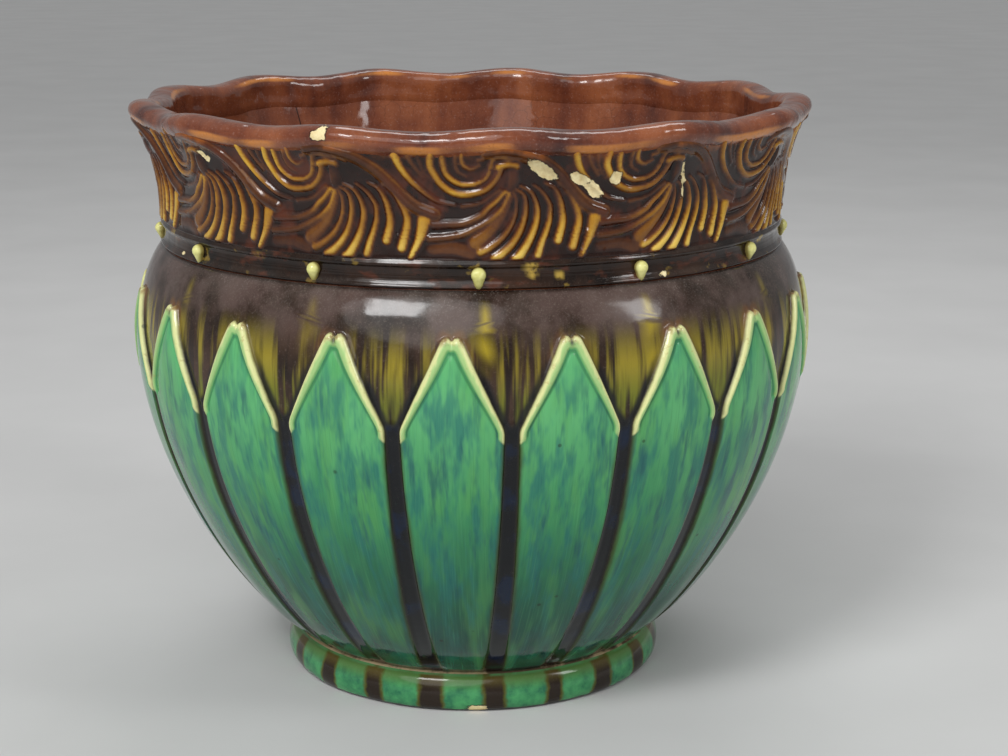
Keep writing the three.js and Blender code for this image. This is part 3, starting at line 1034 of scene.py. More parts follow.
@dataclass(frozen=True)
class NeckGlaze(Glaze):
    """Near-black brown glaze with a few ochre stains and fine mould lines."""

    def colour(self, g: Graph) -> Socket:
        """Dark, with ochre where the glaze ran thin.

        Args:
            g: The material's graph.

        Returns:
            The colour.
        """
        place = g.place()
        clouds = g.noise(place, 60.0, 4.0, 0.6)
        dark = g.ramp(clouds, [(0.36, (0.007, 0.004, 0.003)), (0.70, (0.038, 0.017, 0.009))])
        stain = self.streaks(g, 7.0, 6.0)
        dark = g.mix(g.times(g.ease(stain, 0.62, 0.72), 0.7), dark, (0.26, 0.17, 0.028))
        ochre = g.times(g.mark("ochre"), g.ease(g.noise(place, 420.0, 3.0), 0.30, 0.55))
        dark = g.mix(ochre, dark, (0.46, 0.31, 0.055))
        red = self.streaks(g, 11.0, 5.0)
        return g.mix(g.times(g.ease(red, 0.56, 0.70), 0.7), dark, (0.090, 0.024, 0.010))

    def relief(self, g: Graph) -> Socket:
        """Horizontal lines left by the mould and the turning tool."""
        stretched = g.scaled(g.place(), (18.0, 18.0, 1100.0))
        return g.times(g.swing(stretched, 1.0, 3.0), 0.16)

    def flake(self, g: Graph) -> Socket:
        """A few flakes at the neck."""
        return g.mark("flake")


@dataclass(frozen=True)
class FriezeGlaze(Glaze):
    """Amber glaze, thin and honey coloured on the ridges and near black where it pools."""

    def colour(self, g: Graph) -> Socket:
        """The colour follows how thin the glaze lies on the relief.

        Args:
            g: The material's graph.

        Returns:
            The colour.
        """
        place = g.place()
        height = g.level(place)
        stain = g.swing(place, 95.0, 4.0, 0.6)
        grain = g.swing(place, 800.0, 3.0, 0.6)
        strength = g.plus(0.80, g.times(g.ease(g.noise(place, 26.0, 3.0), 0.40, 0.62), 0.26))
        laid = g.times(g.mark("thin"), strength)
        thin = g.plus(laid, g.plus(g.times(stain, 0.30), g.times(grain, 0.10)))
        stops = [
            (0.06, (0.010, 0.004, 0.003)),
            (0.24, (0.036, 0.011, 0.006)),
            (0.42, (0.110, 0.036, 0.009)),
            (0.58, (0.230, 0.092, 0.011)),
            (0.74, (0.400, 0.190, 0.016)),
            (0.95, (0.660, 0.400, 0.048)),
        ]
        amber = g.ramp(thin, stops)
        low = g.ease(height, 199.0, 187.0)
        amber = g.mix(g.times(low, g.ease(thin, 0.60, 0.90), 0.65), amber, (0.76, 0.55, 0.12))
        russet = self.streaks(g, 12.0, 16.0)
        amber = g.mix(g.times(g.ease(russet, 0.52, 0.70), g.ease(thin, 0.55, 0.25), 0.75), amber, (0.100, 0.024, 0.010))
        drip = g.times(g.mark("drip"), g.ease(g.plus(stain, 0.5), 0.42, 0.66))
        return g.mix(g.times(drip, 0.8), amber, (0.36, 0.100, 0.014))

    def flake(self, g: Graph) -> Socket:
        """The flakes knocked off the frieze."""
        return g.mark("flake")


@dataclass(frozen=True)
class RussetGlaze(Glaze):
    """The red-brown glaze of the rim and the inside, purple where thick and orange where thin."""

    craze: float = 0.28

    def colour(self, g: Graph) -> Socket:
        """Red-brown with vertical tone changes, crazing and fine specks.

        Args:
            g: The material's graph.

        Returns:
            The colour.
        """
        place = g.place()
        runs = self.streaks(g, 17.0, 70.0)
        clouds = g.noise(place, 65.0, 4.0, 0.6)
        height = g.level(place)
        wall = g.times(g.ease(height, 22.0, 60.0), 0.65)
        tone = g.plus(g.times(g.math("SUBTRACT", runs, clouds), wall), clouds)
        stops = [
            (0.36, (0.072, 0.020, 0.014)),
            (0.50, (0.175, 0.048, 0.022)),
            (0.66, (0.290, 0.090, 0.036)),
        ]
        russet = g.ramp(tone, stops)
        thin = g.plus(g.mark("thin"), g.times(g.math("SUBTRACT", clouds, 0.5), 0.5))
        russet = g.mix(g.times(g.ease(thin, 0.35, 0.9), 0.9), russet, (0.62, 0.23, 0.045))
        fine = g.noise(place, 1100.0, 3.0, 0.7)
        russet = g.mix(g.times(g.ease(fine, 0.55, 0.75), 0.3), russet, (0.42, 0.28, 0.24))
        russet = g.mix(g.times(g.ease(fine, 0.42, 0.28), 0.4), russet, (0.030, 0.010, 0.010))
        net = g.group(TOOLS.crazing, place=place, spacing=7.5 * MM, width=0.22 * MM).outputs["Mask"]
        russet = g.mix(g.times(net, self.craze), russet, (0.030, 0.012, 0.008))
        return g.mix(self.crack(g), russet, (0.008, 0.004, 0.003))

    def crack(self, g: Graph) -> Socket:
        """The hairline crack that runs down inside the collar."""
        beside = g.math("ABSOLUTE", g.mark("crack"))
        return g.times(g.ease(beside, 0.42, 0.12), 0.9)

    def flake(self, g: Graph) -> Socket:
        """The flakes knocked off the lip."""
        return g.mark("flake")


@dataclass(frozen=True)
class BeadGlaze(Glaze):
    """Pale yellow glaze, stained brown where it meets the neck."""

    def colour(self, g: Graph) -> Socket:
        """Straw yellow with a greenish cast and a brown skirt.

        Args:
            g: The material's graph.

        Returns:
            The colour.
        """
        place = g.place()
        straw = g.ramp(g.noise(place, 260.0, 4.0, 0.6), [(0.35, (0.60, 0.57, 0.17)), (0.65, (0.82, 0.80, 0.32))])
        return g.mix(g.times(g.mark("skirt"), 0.8), straw, (0.16, 0.095, 0.014))


@dataclass(frozen=True)
class BareClay(Glaze):
    """Buff biscuit under the pot, with brown glaze run over its edges."""

    def colour(self, g: Graph) -> Socket:
        """Buff clay, speckled, with thin brown smears.

        Args:
            g: The material's graph.

        Returns:
            The colour.
        """
        place = g.place()
        clay = g.ramp(g.noise(place, 300.0, 5.0, 0.6), [(0.3, (0.42, 0.30, 0.16)), (0.7, (0.60, 0.47, 0.28))])
        smears = g.ease(g.noise(place, 36.0, 5.0, 0.65), 0.48, 0.56)
        specks = g.group(TOOLS.specks, place=place, spacing=3.5 * MM, share=0.3).outputs["Mask"]
        clay = g.mix(g.times(smears, 0.9), clay, (0.060, 0.030, 0.014))
        return g.mix(g.times(specks, 0.7), clay, (0.05, 0.03, 0.02))


# ---------------------------------------------------------------- flakes


@dataclass(frozen=True)
class Flake:
    """A place where the glaze has flaked off, on the wall of one piece.

    Attributes:
        azimuth: Of its middle, in degrees.
        height: Of its middle, in millimetres.
        length: Along its longer axis, in millimetres.
        width: Across it.
        tilt: Of the longer axis above the horizontal, in degrees.
    """

    azimuth: float
    height: float
    length: float
    width: float
    tilt: float

    def inside(self, azimuth: Array, radius: Array, height: Array) -> Array:
        """Millimetres inside the flake at each point.

        Args:
            azimuth: In radians.
            radius: In millimetres.
            height: In millimetres.

        Returns:
            The depth; below zero outside the flake.
        """
        turned = (azimuth - math.radians(self.azimuth) + math.pi) % (2 * math.pi) - math.pi
        along = turned * radius
        above = height - self.height
        lean = math.radians(self.tilt)
        u = along * math.cos(lean) + above * math.sin(lean)
        v = above * math.cos(lean) - along * math.sin(lean)
        spread = (np.abs(2 * u / self.length) ** 2.6 + np.abs(2 * v / self.width) ** 2.6) ** (1 / 2.6)
        return (1.0 - spread) * self.width / 2


def flaked(flakes: Sequence[Flake], azimuth: Array, radius: Array, height: Array) -> Array:
    """Millimetres inside the nearest of several flakes, kept between -5 and 5.

    Args:
        flakes: The flakes of one piece.
        azimuth: In radians.
        radius: In millimetres.
        height: In millimetres.

    Returns:
        The depth; below zero outside all of them.
    """
    depth = np.full(azimuth.shape, -5.0)
    for flake in flakes:
        depth = np.maximum(depth, flake.inside(azimuth, radius, height))
    return np.clip(depth, -5.0, 5.0)


# ---------------------------------------------------------------- foot ring


@dataclass
class FootRing:
    """The turned ring that the pot stands on, with its painted patches.

    Attributes:
        columns: Steps round the ring.
        patch: Half the width of a green patch, in millimetres.
        face_radius: Radius at which the patches are measured.
        nick: The flake at the tread's front edge.
    """

    columns: int = 480
    patch: float = 7.3
    face_radius: float = 75.0
    nick: Flake = Flake(0.9, 1.6, 7.0, 2.6, 2.0)

    def outline(self) -> Array:
        """The section: flat tread, bulging band with a low step at mid height, and a crease on top.

        Returns:
            One row of a radius and a height for each point.
        """
        form = FORM
        face = through(
            [(form.foot_tread, 0.0), (75.3, 0.9), (76.6, 3.2), (form.foot_radius, 6.2)]
            + [(76.8, 8.3), (76.1, 10.9), (74.9, 13.1), (72.6, 14.9)],
            5,
        )
        inner = [(70.0, 15.6), (form.foot_inner + 1, 15.2), (form.foot_inner, 14.0), (form.foot_inner, 2.5)]
        tread = [(64.5, 1.0), (66.0, 0.0), (69.0, 0.0)]
        return np.vstack([face, inner, tread, face[:1]])

    def build(self) -> bpy.types.Object:
        """Turns the ring, marks its patches and glazes it.

        Returns:
            The ring's object.
        """
        outline = self.outline()
        piece = turn("foot_ring_glazed", outline, self.columns, LEAVES)
        azimuth = piece.share() * 2 * math.pi
        radius, height = outline[piece.station].T
        outer = radius > 73.2
        radius = radius + np.where(outer, 0.15 * wander(azimuth, height * 3, 5) - 0.15, 0.0)
        pitch = 2 * math.pi / LEAVES
        turned = (azimuth - STRIPE_AZIMUTH) / pitch
        leaf = np.floor(turned)
        random = np.random.default_rng(31)
        shift, grow = random.uniform(-0.9, 0.9, LEAVES), random.uniform(-0.8, 1.3, LEAVES)
        offset = (turned - leaf - 0.5) * pitch * self.face_radius
        which = leaf.astype(int) % LEAVES
        piece.place(azimuth, radius, height)
        piece.mark("patch", self.patch + grow[which] - np.abs(offset - shift[which]))
        piece.mark("flake", flaked([self.nick], azimuth, radius, height))
        bare = np.array([1 if r < 72.9 and z < 16 else 0 for r, z in outline])
        dress(piece, [FootGlaze("foot_glaze").build(), BareClay("bare_clay", gloss=0.55).build()], bare)
        return piece.finish()


# ---------------------------------------------------------------- bowl

LEAVES = 20
STRIPE_AZIMUTH = math.radians(5.9)


@dataclass
class Bowl:
    """The leaf-moulded bowl. Its columns follow the leaves' outlines, so that the borders stay crisp.

    Attributes:
        per_leaf: Columns for each leaf.
        stripe_top: Width of the dark stripe at the leaves' shoulders, in millimetres.
        stripe_foot: And at the foot.
        tip: Height of the leaves' tips.
        tip_half: Half the width of the blunt tip.
        slant: How fast a leaf narrows above its shoulder, in millimetres a millimetre.
        field_rise: How proud the leaf stands.
        border_rise: How proud its border stands.
        shoulder: Height at which the leaves start to narrow.
        shoulder_radius: Radius at which the runs below the pellets are measured.
        bead_lag: How far the pellets sit beside the crests of the lobes, in radians.
        bar: Width of the border at the shoulder and at the tip.
        low_inset: How far inside the edge each column of the border lies, at the shoulder and below.
        high_inset: And near the tip.
    """

    per_leaf: int = 32
    stripe_top: float = 5.2
    stripe_foot: float = 7.2
    tip: float = 159.4
    tip_half: float = 3.3
    slant: float = 0.462
    shoulder: float = 127.0
    shoulder_radius: float = 130.0
    field_rise: float = 1.4
    border_rise: float = 2.25
    bead_lag: float = math.radians(-4.6)
    bar: Point = (2.3, 3.7)
    low_inset: tuple[float, ...] = (3.6, 3.0, 2.6, 2.25, 1.7, 1.15, 0.6, 0.25, 0.0, -0.45, -1.9)
    high_inset: tuple[float, ...] = (5.0, 4.5, 4.1, 3.7, 2.9, 2.0, 1.1, 0.45, 0.0, -0.45, -1.9)

    def bar_width(self, height: Array) -> Array:
        """The width of a leaf's border, which widens from the shoulder to the tip, where the two meet."""
        return lerp(*self.bar, smooth(self.shoulder - 1.0, self.tip - 8.0, height))

    def half_width(self, height: Array) -> Array:
        """Half the width of a leaf at a height, along the wall.

        Args:
            height: In millimetres.

        Returns:
            The half width in millimetres.
        """
        share = np.clip((height - FORM.foot_height) / (self.shoulder - FORM.foot_height), 0.0, 1.0)
        stripe = lerp(self.stripe_foot, self.stripe_top, share)
        straight = math.pi / LEAVES * FORM.wall_radius(np.minimum(height, self.shoulder + 4)) - stripe / 2
        pointed = self.tip_half + self.slant * (self.tip - 0.6 - height)
        return np.maximum(soft_min(straight, pointed, 0.9), 1.2)

    def lean(self, height: Array) -> Array:
        """Cosine of the slope of a leaf's edge, which turns distances along the wall into distances to it."""
        return lerp(1.0, math.cos(math.atan(self.slant)), smooth(self.shoulder - 1.5, self.shoulder + 1.5, height))

    def offsets(self, step: Array, height: Array) -> Array:
        """How far from the midrib each column lies, along the wall.

        Args:
            step: Steps from the midrib, 0 to half of per_leaf.
            height: In millimetres.

        Returns:
            The distance in millimetres.
        """
        half = self.half_width(height)
        lean = self.lean(height)
        pitch = 2 * math.pi * FORM.wall_radius(height) / LEAVES
        last = self.per_leaf // 2
        widen = smooth(self.shoulder - 1.0, self.tip - 8.0, height)
        knots = [half - lerp(low, high, widen) / lean for low, high in zip(self.low_inset, self.high_inset)]
        lines = [np.zeros_like(half), knots[0] / 3, knots[0] * 2 / 3, *knots]
        ground = last - len(lines) + 1
        lines += [lerp(knots[-1], pitch / 2, (i + 1) / ground) for i in range(ground)]
        table = np.stack([np.maximum(line, 0.06 * i) for i, line in enumerate(lines)])
        offset = np.take_along_axis(table, step[None, :], axis=0)[0]
        even = pitch / self.per_leaf * step
        return lerp(offset, even, smooth(self.tip + 0.4, self.tip + 6.0, height))

    def edge_distance(self, offset: Array, height: Array) -> Array:
        """Millimetres inside the leaf's outline, with the two bar ends of its tip and the notch between.

        Args:
            offset: Distance from the midrib along the wall.
            height: In millimetres.

        Returns:
            The distance; below zero on the ground.
        """
        side = (self.half_width(height) - np.abs(offset)) * self.lean(height)
        notch = 1.3 * bell(offset, 0.0, 0.95)
        return soft_min(side, (self.tip - notch - height) * 1.1, 2.2)

    def leaf_rise(self, offset: Array, height: Array) -> Array:
        """How proud of the ground the leaf stands: its field, its rounded border and the groove between.

        Args:
            offset: Distance from the midrib along the wall.
            height: In millimetres.

        Returns:
            The rise in millimetres.
        """
        edge = self.edge_distance(offset, height)
        share = edge / self.bar_width(height)
        body = self.field_rise * smooth(-0.45, 0.6, edge)
        dome = np.clip(1.0 - np.abs(2.0 * share - 1.0) ** 2.4, 0.0, 1.0) ** 0.7
        cleft = bell(offset, 0.0, 0.7) * smooth(self.tip - 4.5, self.tip - 2.5, height)
        border = (self.border_rise - self.field_rise) * dome - 0.8 * cleft * smooth(0.0, 0.6, edge)
        groove = 0.32 * smooth(0.93, 1.05, share) * smooth(1.45, 1.15, share)
        crown = 0.45 * (1 - (offset / np.maximum(self.half_width(height), 1.0)) ** 2) * smooth(3.5, 9.0, edge)
        raised = body + (border - groove) * smooth(121.5, 124.5, height) + crown
        beside = math.pi / LEAVES * FORM.wall_radius(height) - np.abs(offset)
        blob = 0.75 * bell(beside, 0.0, 1.9) * bell(height, 127.4, 2.3)
        return np.maximum(raised * lerp(0.3, 1.0, smooth(15.5, 30.0, height)), blob)

    def outline(self) -> tuple[Array, Array]:
        """The whole section, and for each of its points whether it is outside (0), inside (1) or under (2).

        Returns:
            The section's radii and heights, and the zone of each point.
        """
        form = FORM
        base, floor = form.base_height, form.floor_height
        under = np.array([(0.0, base), (20.0, base), (45.0, base), (62.0, base), (63.6, 9.8), (63.6, 15.2)])
        heights = np.concatenate(
            [
                np.linspace(15.1, 119.0, 44, endpoint=False),
                np.linspace(119.0, 156.6, 42, endpoint=False),
                np.linspace(156.6, 160.2, 11, endpoint=False),
                np.linspace(160.2, 173.9, 11),
            ]
        )
        outside = np.stack([form.wall_radius(heights), heights], axis=1)
        inner = form.inner_wall()[::-1]
        mouth, middle = [(117.5, 174.6), (114.4, 174.2)], [(30.0, floor), (12.0, floor), (0.0, floor)]
        inside = np.vstack([mouth, inner[4::11], middle])
        outline = np.vstack([under, outside, inside])
        zone = np.repeat([2, 0, 1], [len(under), len(outside), len(inside)])
        return outline, zone

    def build(self) -> bpy.types.Object:
        """Turns the bowl, raises its leaves and glazes it outside, inside and underneath.

        Returns:
            The bowl's object.
        """
        outline, zone = self.outline()
        piece = turn("bowl_glazed", outline, LEAVES * self.per_leaf, LEAVES)
        radius, height = outline[piece.station].T
        leaf, place = np.divmod(piece.column, self.per_leaf)
        half = self.per_leaf // 2
        side = np.where(place < half, -1.0, 1.0)
        step = np.abs(place - half)
        centre = STRIPE_AZIMUTH + (leaf + 0.5) * 2 * math.pi / LEAVES
        outer = zone[piece.station] == 0
        offset = side * self.offsets(step, height)
        even = STRIPE_AZIMUTH + piece.share() * 2 * math.pi
        azimuth = np.where(outer, centre + offset / np.maximum(radius, 1.0), even)
        rise = self.leaf_rise(offset, height)
        uneven = 0.09 * wander(azimuth, height, 11) * smooth(16.0, 30.0, height) * smooth(174.0, 168.0, height)
        piece.place(azimuth, radius + np.where(outer, rise + uneven, 0.0), height)
        edge = self.edge_distance(offset, height)
        piece.mark("leaf_edge", np.clip(edge, -9.0, 12.0))
        piece.mark("bar_share", np.clip(edge / self.bar_width(height), -1.0, 3.0))
        speck = bell(offset, 0.0, 0.7) * bell(height, self.tip - 2.6, 1.3)
        piece.mark("tip_speck", speck * (random_share(leaf, 77) > 0.35))
        piece.mark("leaf_at", np.stack([offset, height, leaf * 37.0], axis=1))
        piece.mark("bead_run", self.bead_run(azimuth, height))
        piece.mark("base_loop", self.base_loop(offset, height, leaf))
        piece.mark("thin", np.zeros(len(radius)))
        piece.mark("crack", np.full(len(radius), 5.0))
        piece.mark("flake", np.full(len(radius), -5.0))
        finishes = [
            LeafGlaze("leaf_glaze", dust=0.75, waves=0.30).build(),
            RussetGlaze("inside_glaze", dust=0.5).build(),
            BareClay("base_clay", gloss=0.5).build(),
        ]
        dress(piece, finishes, zone)
        return piece.finish()

    def bead_run(self, azimuth: Array, height: Array) -> Array:
        """The yellow run of glaze below each clay pellet, bright at its top.

        Args:
            azimuth: In radians.
            height: In millimetres.

        Returns:
            Its strength at each point, from 0 to 1.
        """
        pitch = 2 * math.pi / FORM.lobes
        random = np.random.default_rng(8)
        strength = random.uniform(0.15, 1.0, FORM.lobes)
        strength[0] = 1.0
        reach = random.uniform(10.0, 26.0, FORM.lobes)
        drift = random.uniform(-2.5, 3.0, FORM.lobes)
        drift[0] = 2.2
        turned = (azimuth - FORM.lobe_azimuth - self.bead_lag) / pitch
        which = np.rint(turned).astype(int)
        beside = (turned - which) * pitch * self.shoulder_radius
        which = which % FORM.lobes
        across = bell(beside, drift[which], 1.5)
        along = smooth(171.5, 166.0, height) * smooth(168.0 - reach[which] - 12.0, 168.0 - reach[which], height)
        return strength[which] * across * along

    def base_loop(self, offset: Array, height: Array, leaf: Array) -> Array:
        """The thin, pale outline of slip that loops round the base of some leaves.

        Args:
            offset: Distance from the midrib along the wall.
            height: In millimetres.
            leaf: The leaf that each point is on.

        Returns:
            Its strength at each point, from 0 to 1.
        """
        random = np.random.default_rng(3)
        size = random.uniform(5.0, 8.5, LEAVES)[leaf]
        strength = random.uniform(0.0, 1.0, LEAVES)[leaf]
        away = np.hypot(offset / 5.5, (height - 21.0) / size)
        return strength * bell(away, 1.0, 0.22)


# ---------------------------------------------------------------- neck band and pellets


@dataclass
class NeckBand:
    """The dark band over the joint of bowl and collar, with a fillet at each edge.

    Attributes:
        columns: Steps round the band.
        flakes: Where the glaze has flaked off.
        stains: Where it has run thin and ochre.
    """

    columns: int = 520
    flakes: tuple[Flake, ...] = (Flake(33.2, 176.1, 3.4, 1.8, 20.0), Flake(-61.0, 176.5, 3.0, 1.6, -15.0))
    stains: tuple[Flake, ...] = (
        Flake(9.6, 181.6, 5.4, 3.2, 0.0),
        Flake(9.7, 179.4, 3.0, 3.6, 0.0),
        Flake(14.2, 178.5, 2.4, 3.0, 0.0),
        Flake(-38.0, 182.0, 4.0, 2.2, 0.0),
        Flake(61.0, 181.5, 4.6, 2.4, 0.0),
    )

    def outline(self) -> Array:
        """The section, closed inside the wall.

        Returns:
            One row of a radius and a height for each point.
        """
        face = through(
            [(121.4, 173.7), (122.7, 174.2), (123.4, 174.9), (122.9, 175.8), (122.3, 177.0), (122.1, 179.2)]
            + [(122.2, 181.2), (122.9, 181.9), (123.2, 182.7), (122.8, 183.6), (122.3, 184.5)],
            3,
        )
        back = [(120.0, 184.6), (118.6, 184.0), (118.6, 174.5), (119.6, 173.7)]
        return np.vstack([face, back, face[:1]])

    def build(self) -> bpy.types.Object:
        """Turns the band and glazes it.

        Returns:
            The band's object.
        """
        outline = self.outline()
        piece = turn("neck_band_glazed", outline, self.columns, FORM.lobes)
        azimuth = piece.share() * 2 * math.pi
        radius, height = outline[piece.station].T
        uneven = 0.10 * wander(azimuth, height * 4, 21)
        piece.place(azimuth, radius + np.where(radius > 121.8, uneven - 0.1, 0.0), height)
        piece.mark("flake", flaked(self.flakes, azimuth, radius, height))
        ochre = np.maximum(0.4 + flaked(self.stains, azimuth, radius, height), 0.0)
        piece.mark("ochre", np.clip(ochre, 0.0, 1.0))
        dress(piece, [NeckGlaze("neck_glaze", waves=0.5, index=1.42).build()])
        return piece.finish()


@dataclass
class Pellet:
    """One clay pellet pressed on the neck band, with a run of its glaze below it.

    Attributes:
        radius: Of the pellet.
        height: Of its middle above the floor.
        seat: Radius of the band's face that it sits on.
        proud: How far it stands off the band.
        tail: How far its pointed run reaches down.
    """

    radius: float = 2.6
    height: float = 179.3
    seat: float = 122.7
    proud: float = 3.0
    tail: float = 4.4

    def build(self, number: int, azimuth: float, finish: bpy.types.Material) -> bpy.types.Object:
        """Models a pellet where it sits.

        Args:
            number: Its number round the neck, from 1.
            azimuth: Where it sits, in radians.
            finish: Its glaze.

        Returns:
            The pellet's object.
        """
        clear_selection()
        bpy.ops.mesh.primitive_uv_sphere_add(segments=28, ring_count=18, radius=1.0)
        thing = bpy.context.object
        thing.name = thing.data.name = f"neck_pellet_{number:02d}"
        spots = np.zeros(len(thing.data.vertices) * 3)
        thing.data.vertices.foreach_get("co", spots)
        across, out, up = spots.reshape(-1, 3).T
        random = np.random.default_rng(100 + number)
        size = self.radius * random.uniform(0.94, 1.04)
        side = across * size * random.uniform(0.96, 1.05)
        rise = up * size
        drop = smooth(-0.55, -1.0, up)
        rise = rise - drop * self.tail * random.uniform(0.45, 0.75)
        side = np.where(up < -0.6, side * lerp(1.0, 0.9, drop), side)
        depth = np.where(out < 0, -out, out * 0.3)
        stand = self.proud * np.sign(-out) * np.abs(depth) ** 0.9 * lerp(1.0, 0.45, drop)
        radius = self.seat + stand - 0.3
        turned = azimuth + side / self.seat
        height = np.maximum(self.height + rise, FORM.neck_height + 0.4)
        put_points(thing, turned, radius, height)
        mark_points(thing, "skirt", smooth(1.5, 0.2, radius - self.seat))
        thing.data.materials.append(finish)
        face_outwards(thing)
        return thing


# ---------------------------------------------------------------- collar with its frieze


@dataclass(frozen=True)
class Ridge:
    """A cord of the scroll along a smooth line, in millimetres from the scroll's hub and above the neck.

    Attributes:
        line: The points that it passes through.
        width: Its full width at its foot.
        rise: Its height.
        ends: Its width at its first and last point, as shares of the full width.
        gold: How bright the thin glaze on it is at its first and last point, from 0 to 1.
        edged: Whether the bright glaze lies along its two edges, and not on its crest.
    """

    line: tuple[Point, ...]
    width: float = 3.6
    rise: float = 1.3
    ends: Point = (0.4, 1.0)
    gold: Point = (0.3, 0.9)
    edged: bool = False

    def lay(self, along: Array, above: Array) -> tuple[Array, Array]:
        """The cord's height over each point of the frieze, and how bright the glaze on it is.

        Args:
            along: Distance along the wall from the hub, in millimetres.
            above: Height above the neck, in millimetres.

        Returns:
            Both, in the shape of the points given.
        """
        path = through(self.line, 10)
        start, step = path[:-1], np.diff(path, axis=0)
        length = np.maximum((step**2).sum(axis=1), 1e-9)
        relative = np.stack([along.ravel(), above.ravel()], axis=1)[:, None, :] - start[None, :, :]
        share = np.clip((relative * step).sum(axis=2) / length, 0.0, 1.0)
        away = np.linalg.norm(relative - share[..., None] * step, axis=2)
        nearest = away.argmin(axis=1)
        row = np.arange(len(nearest))
        progress = (nearest + share[row, nearest]) / len(step)
        reach = np.maximum(self.width / 2 * lerp(self.ends[0], self.ends[1], progress), 0.3)
        beside = np.clip(away[row, nearest] / reach, 0.0, 1.0)
        height = self.rise * np.minimum(reach / 1.3, 1.0) * (1.0 - beside**2) ** 1.15
        if self.edged:
            bright = bell(beside, 0.80, 0.17)
        else:
            bright = smooth(1.02, 0.60, beside) * (0.80 + 0.20 * bell(beside, 0.62, 0.14))
        bright = bright * lerp(self.gold[0], self.gold[1], smooth(0.0, 1.0, progress))
        return height.reshape(along.shape), bright.reshape(along.shape)


# One repeat of the frieze, in millimetres: the fan's flutes, the wave's bands, and the curls beside it.
FAN = (
    Ridge(
        ((-2.8, 34.9), (-5.6, 32.7), (-8.3, 30.7), (-11.7, 29.6), (-16, 29.0)),
        2.8, 0.9, (0.7, 0.6), (0.45, 0.35),
    ),
    Ridge(
        ((-1.1, 34.2), (-3.9, 31), (-6.7, 28.5), (-9.4, 25.7), (-15, 23.2), (-20.6, 22.7),
         (-26.1, 22.4)),
        4.4, 1.3, (0.45, 0.9), (1.0, 0.1),
    ),
    Ridge(
        ((0.3, 33.4), (-1.7, 28.8), (-4.4, 25.7), (-7.8, 23.2), (-15, 19.6), (-21.7, 18.2),
         (-27.2, 17.7)),
        4.2, 1.3, (0.45, 0.9), (0.95, 0.15),
    ),
    Ridge(
        ((1.1, 32), (-1.7, 26), (-5.6, 21), (-11, 16.5)),
        6.4, 1.0, (0.3, 1.0), (0.35, 0.62),
    ),
    Ridge(
        ((1.4, 34.6), (2.8, 31), (2.5, 26), (0.8, 21.6), (-2.2, 17.7), (-6.7, 14.3), (-9.4, 13.2)),
        3.8, 1.35, (0.35, 0.95), (0.45, 0.75),
    ),
    Ridge(
        ((2.2, 35.2), (5.3, 33), (6.1, 29.3), (5.8, 24.9), (4.4, 20.4), (1.7, 16), (-1.7, 12.7),
         (-4.4, 10.8)),
        4.3, 1.55, (0.35, 1.0), (0.45, 1.0),
    ),
    Ridge(
        ((3.9, 36.2), (7.8, 33.8), (10, 29.3), (10.3, 24.9), (9.2, 20.4), (7.2, 16), (4.4, 11.6),
         (3.0, 10.2)),
        4.8, 1.65, (0.3, 1.0), (0.42, 1.1),
    ),
    Ridge(
        ((8.4, 36.4), (11.7, 33.8), (14.7, 29.3), (15, 24.9), (13.9, 20.4), (12.2, 16), (10.9, 11.8)),
        4.0, 1.45, (0.35, 0.9), (0.35, 0.9),
    ),
    Ridge(
        ((12.8, 36.8), (16.1, 34.9), (18.3, 31), (19.4, 26.6), (19.7, 22.7), (18.2, 16.8)),
        4.2, 1.45, (0.35, 0.95), (0.3, 0.9),
    ),
    Ridge(
        ((17.6, 36.4), (21.1, 33.8), (23.9, 29.3), (25.6, 25.4), (25.6, 21.6), (23.7, 14.4)),
        4.4, 1.4, (0.35, 0.95), (0.3, 0.9),
    ),
)
WAVES = (
    Ridge(
        ((-7.6, 47.6), (-2, 48.4), (4, 47.4), (10, 45.2), (15.6, 41.4), (20, 37.0), (23.9, 32.6),
         (28.9, 28.4), (35.4, 25.8)),
        7.6, 1.6, (0.55, 0.7), (0.85, 0.7), True,
    ),
    Ridge(
        ((31.9, 23.9), (31.0, 20.8), (29.6, 16.6), (26.6, 10.6)),
        5.4, 1.4, (1.15, 0.42), (1.05, 0.95),
    ),
    Ridge(
        ((-3.6, 42.9), (-0.6, 43.7), (2.2, 43.2)),
        4.0, 1.4, (0.8, 0.8), (1.0, 0.8),
    ),
    Ridge(
        ((-26.5, 14.0), (-19.5, 14.6), (-12.6, 13.0)),
        6.5, 0.3, (0.7, 0.9), (0.36, 0.40),
    ),
)
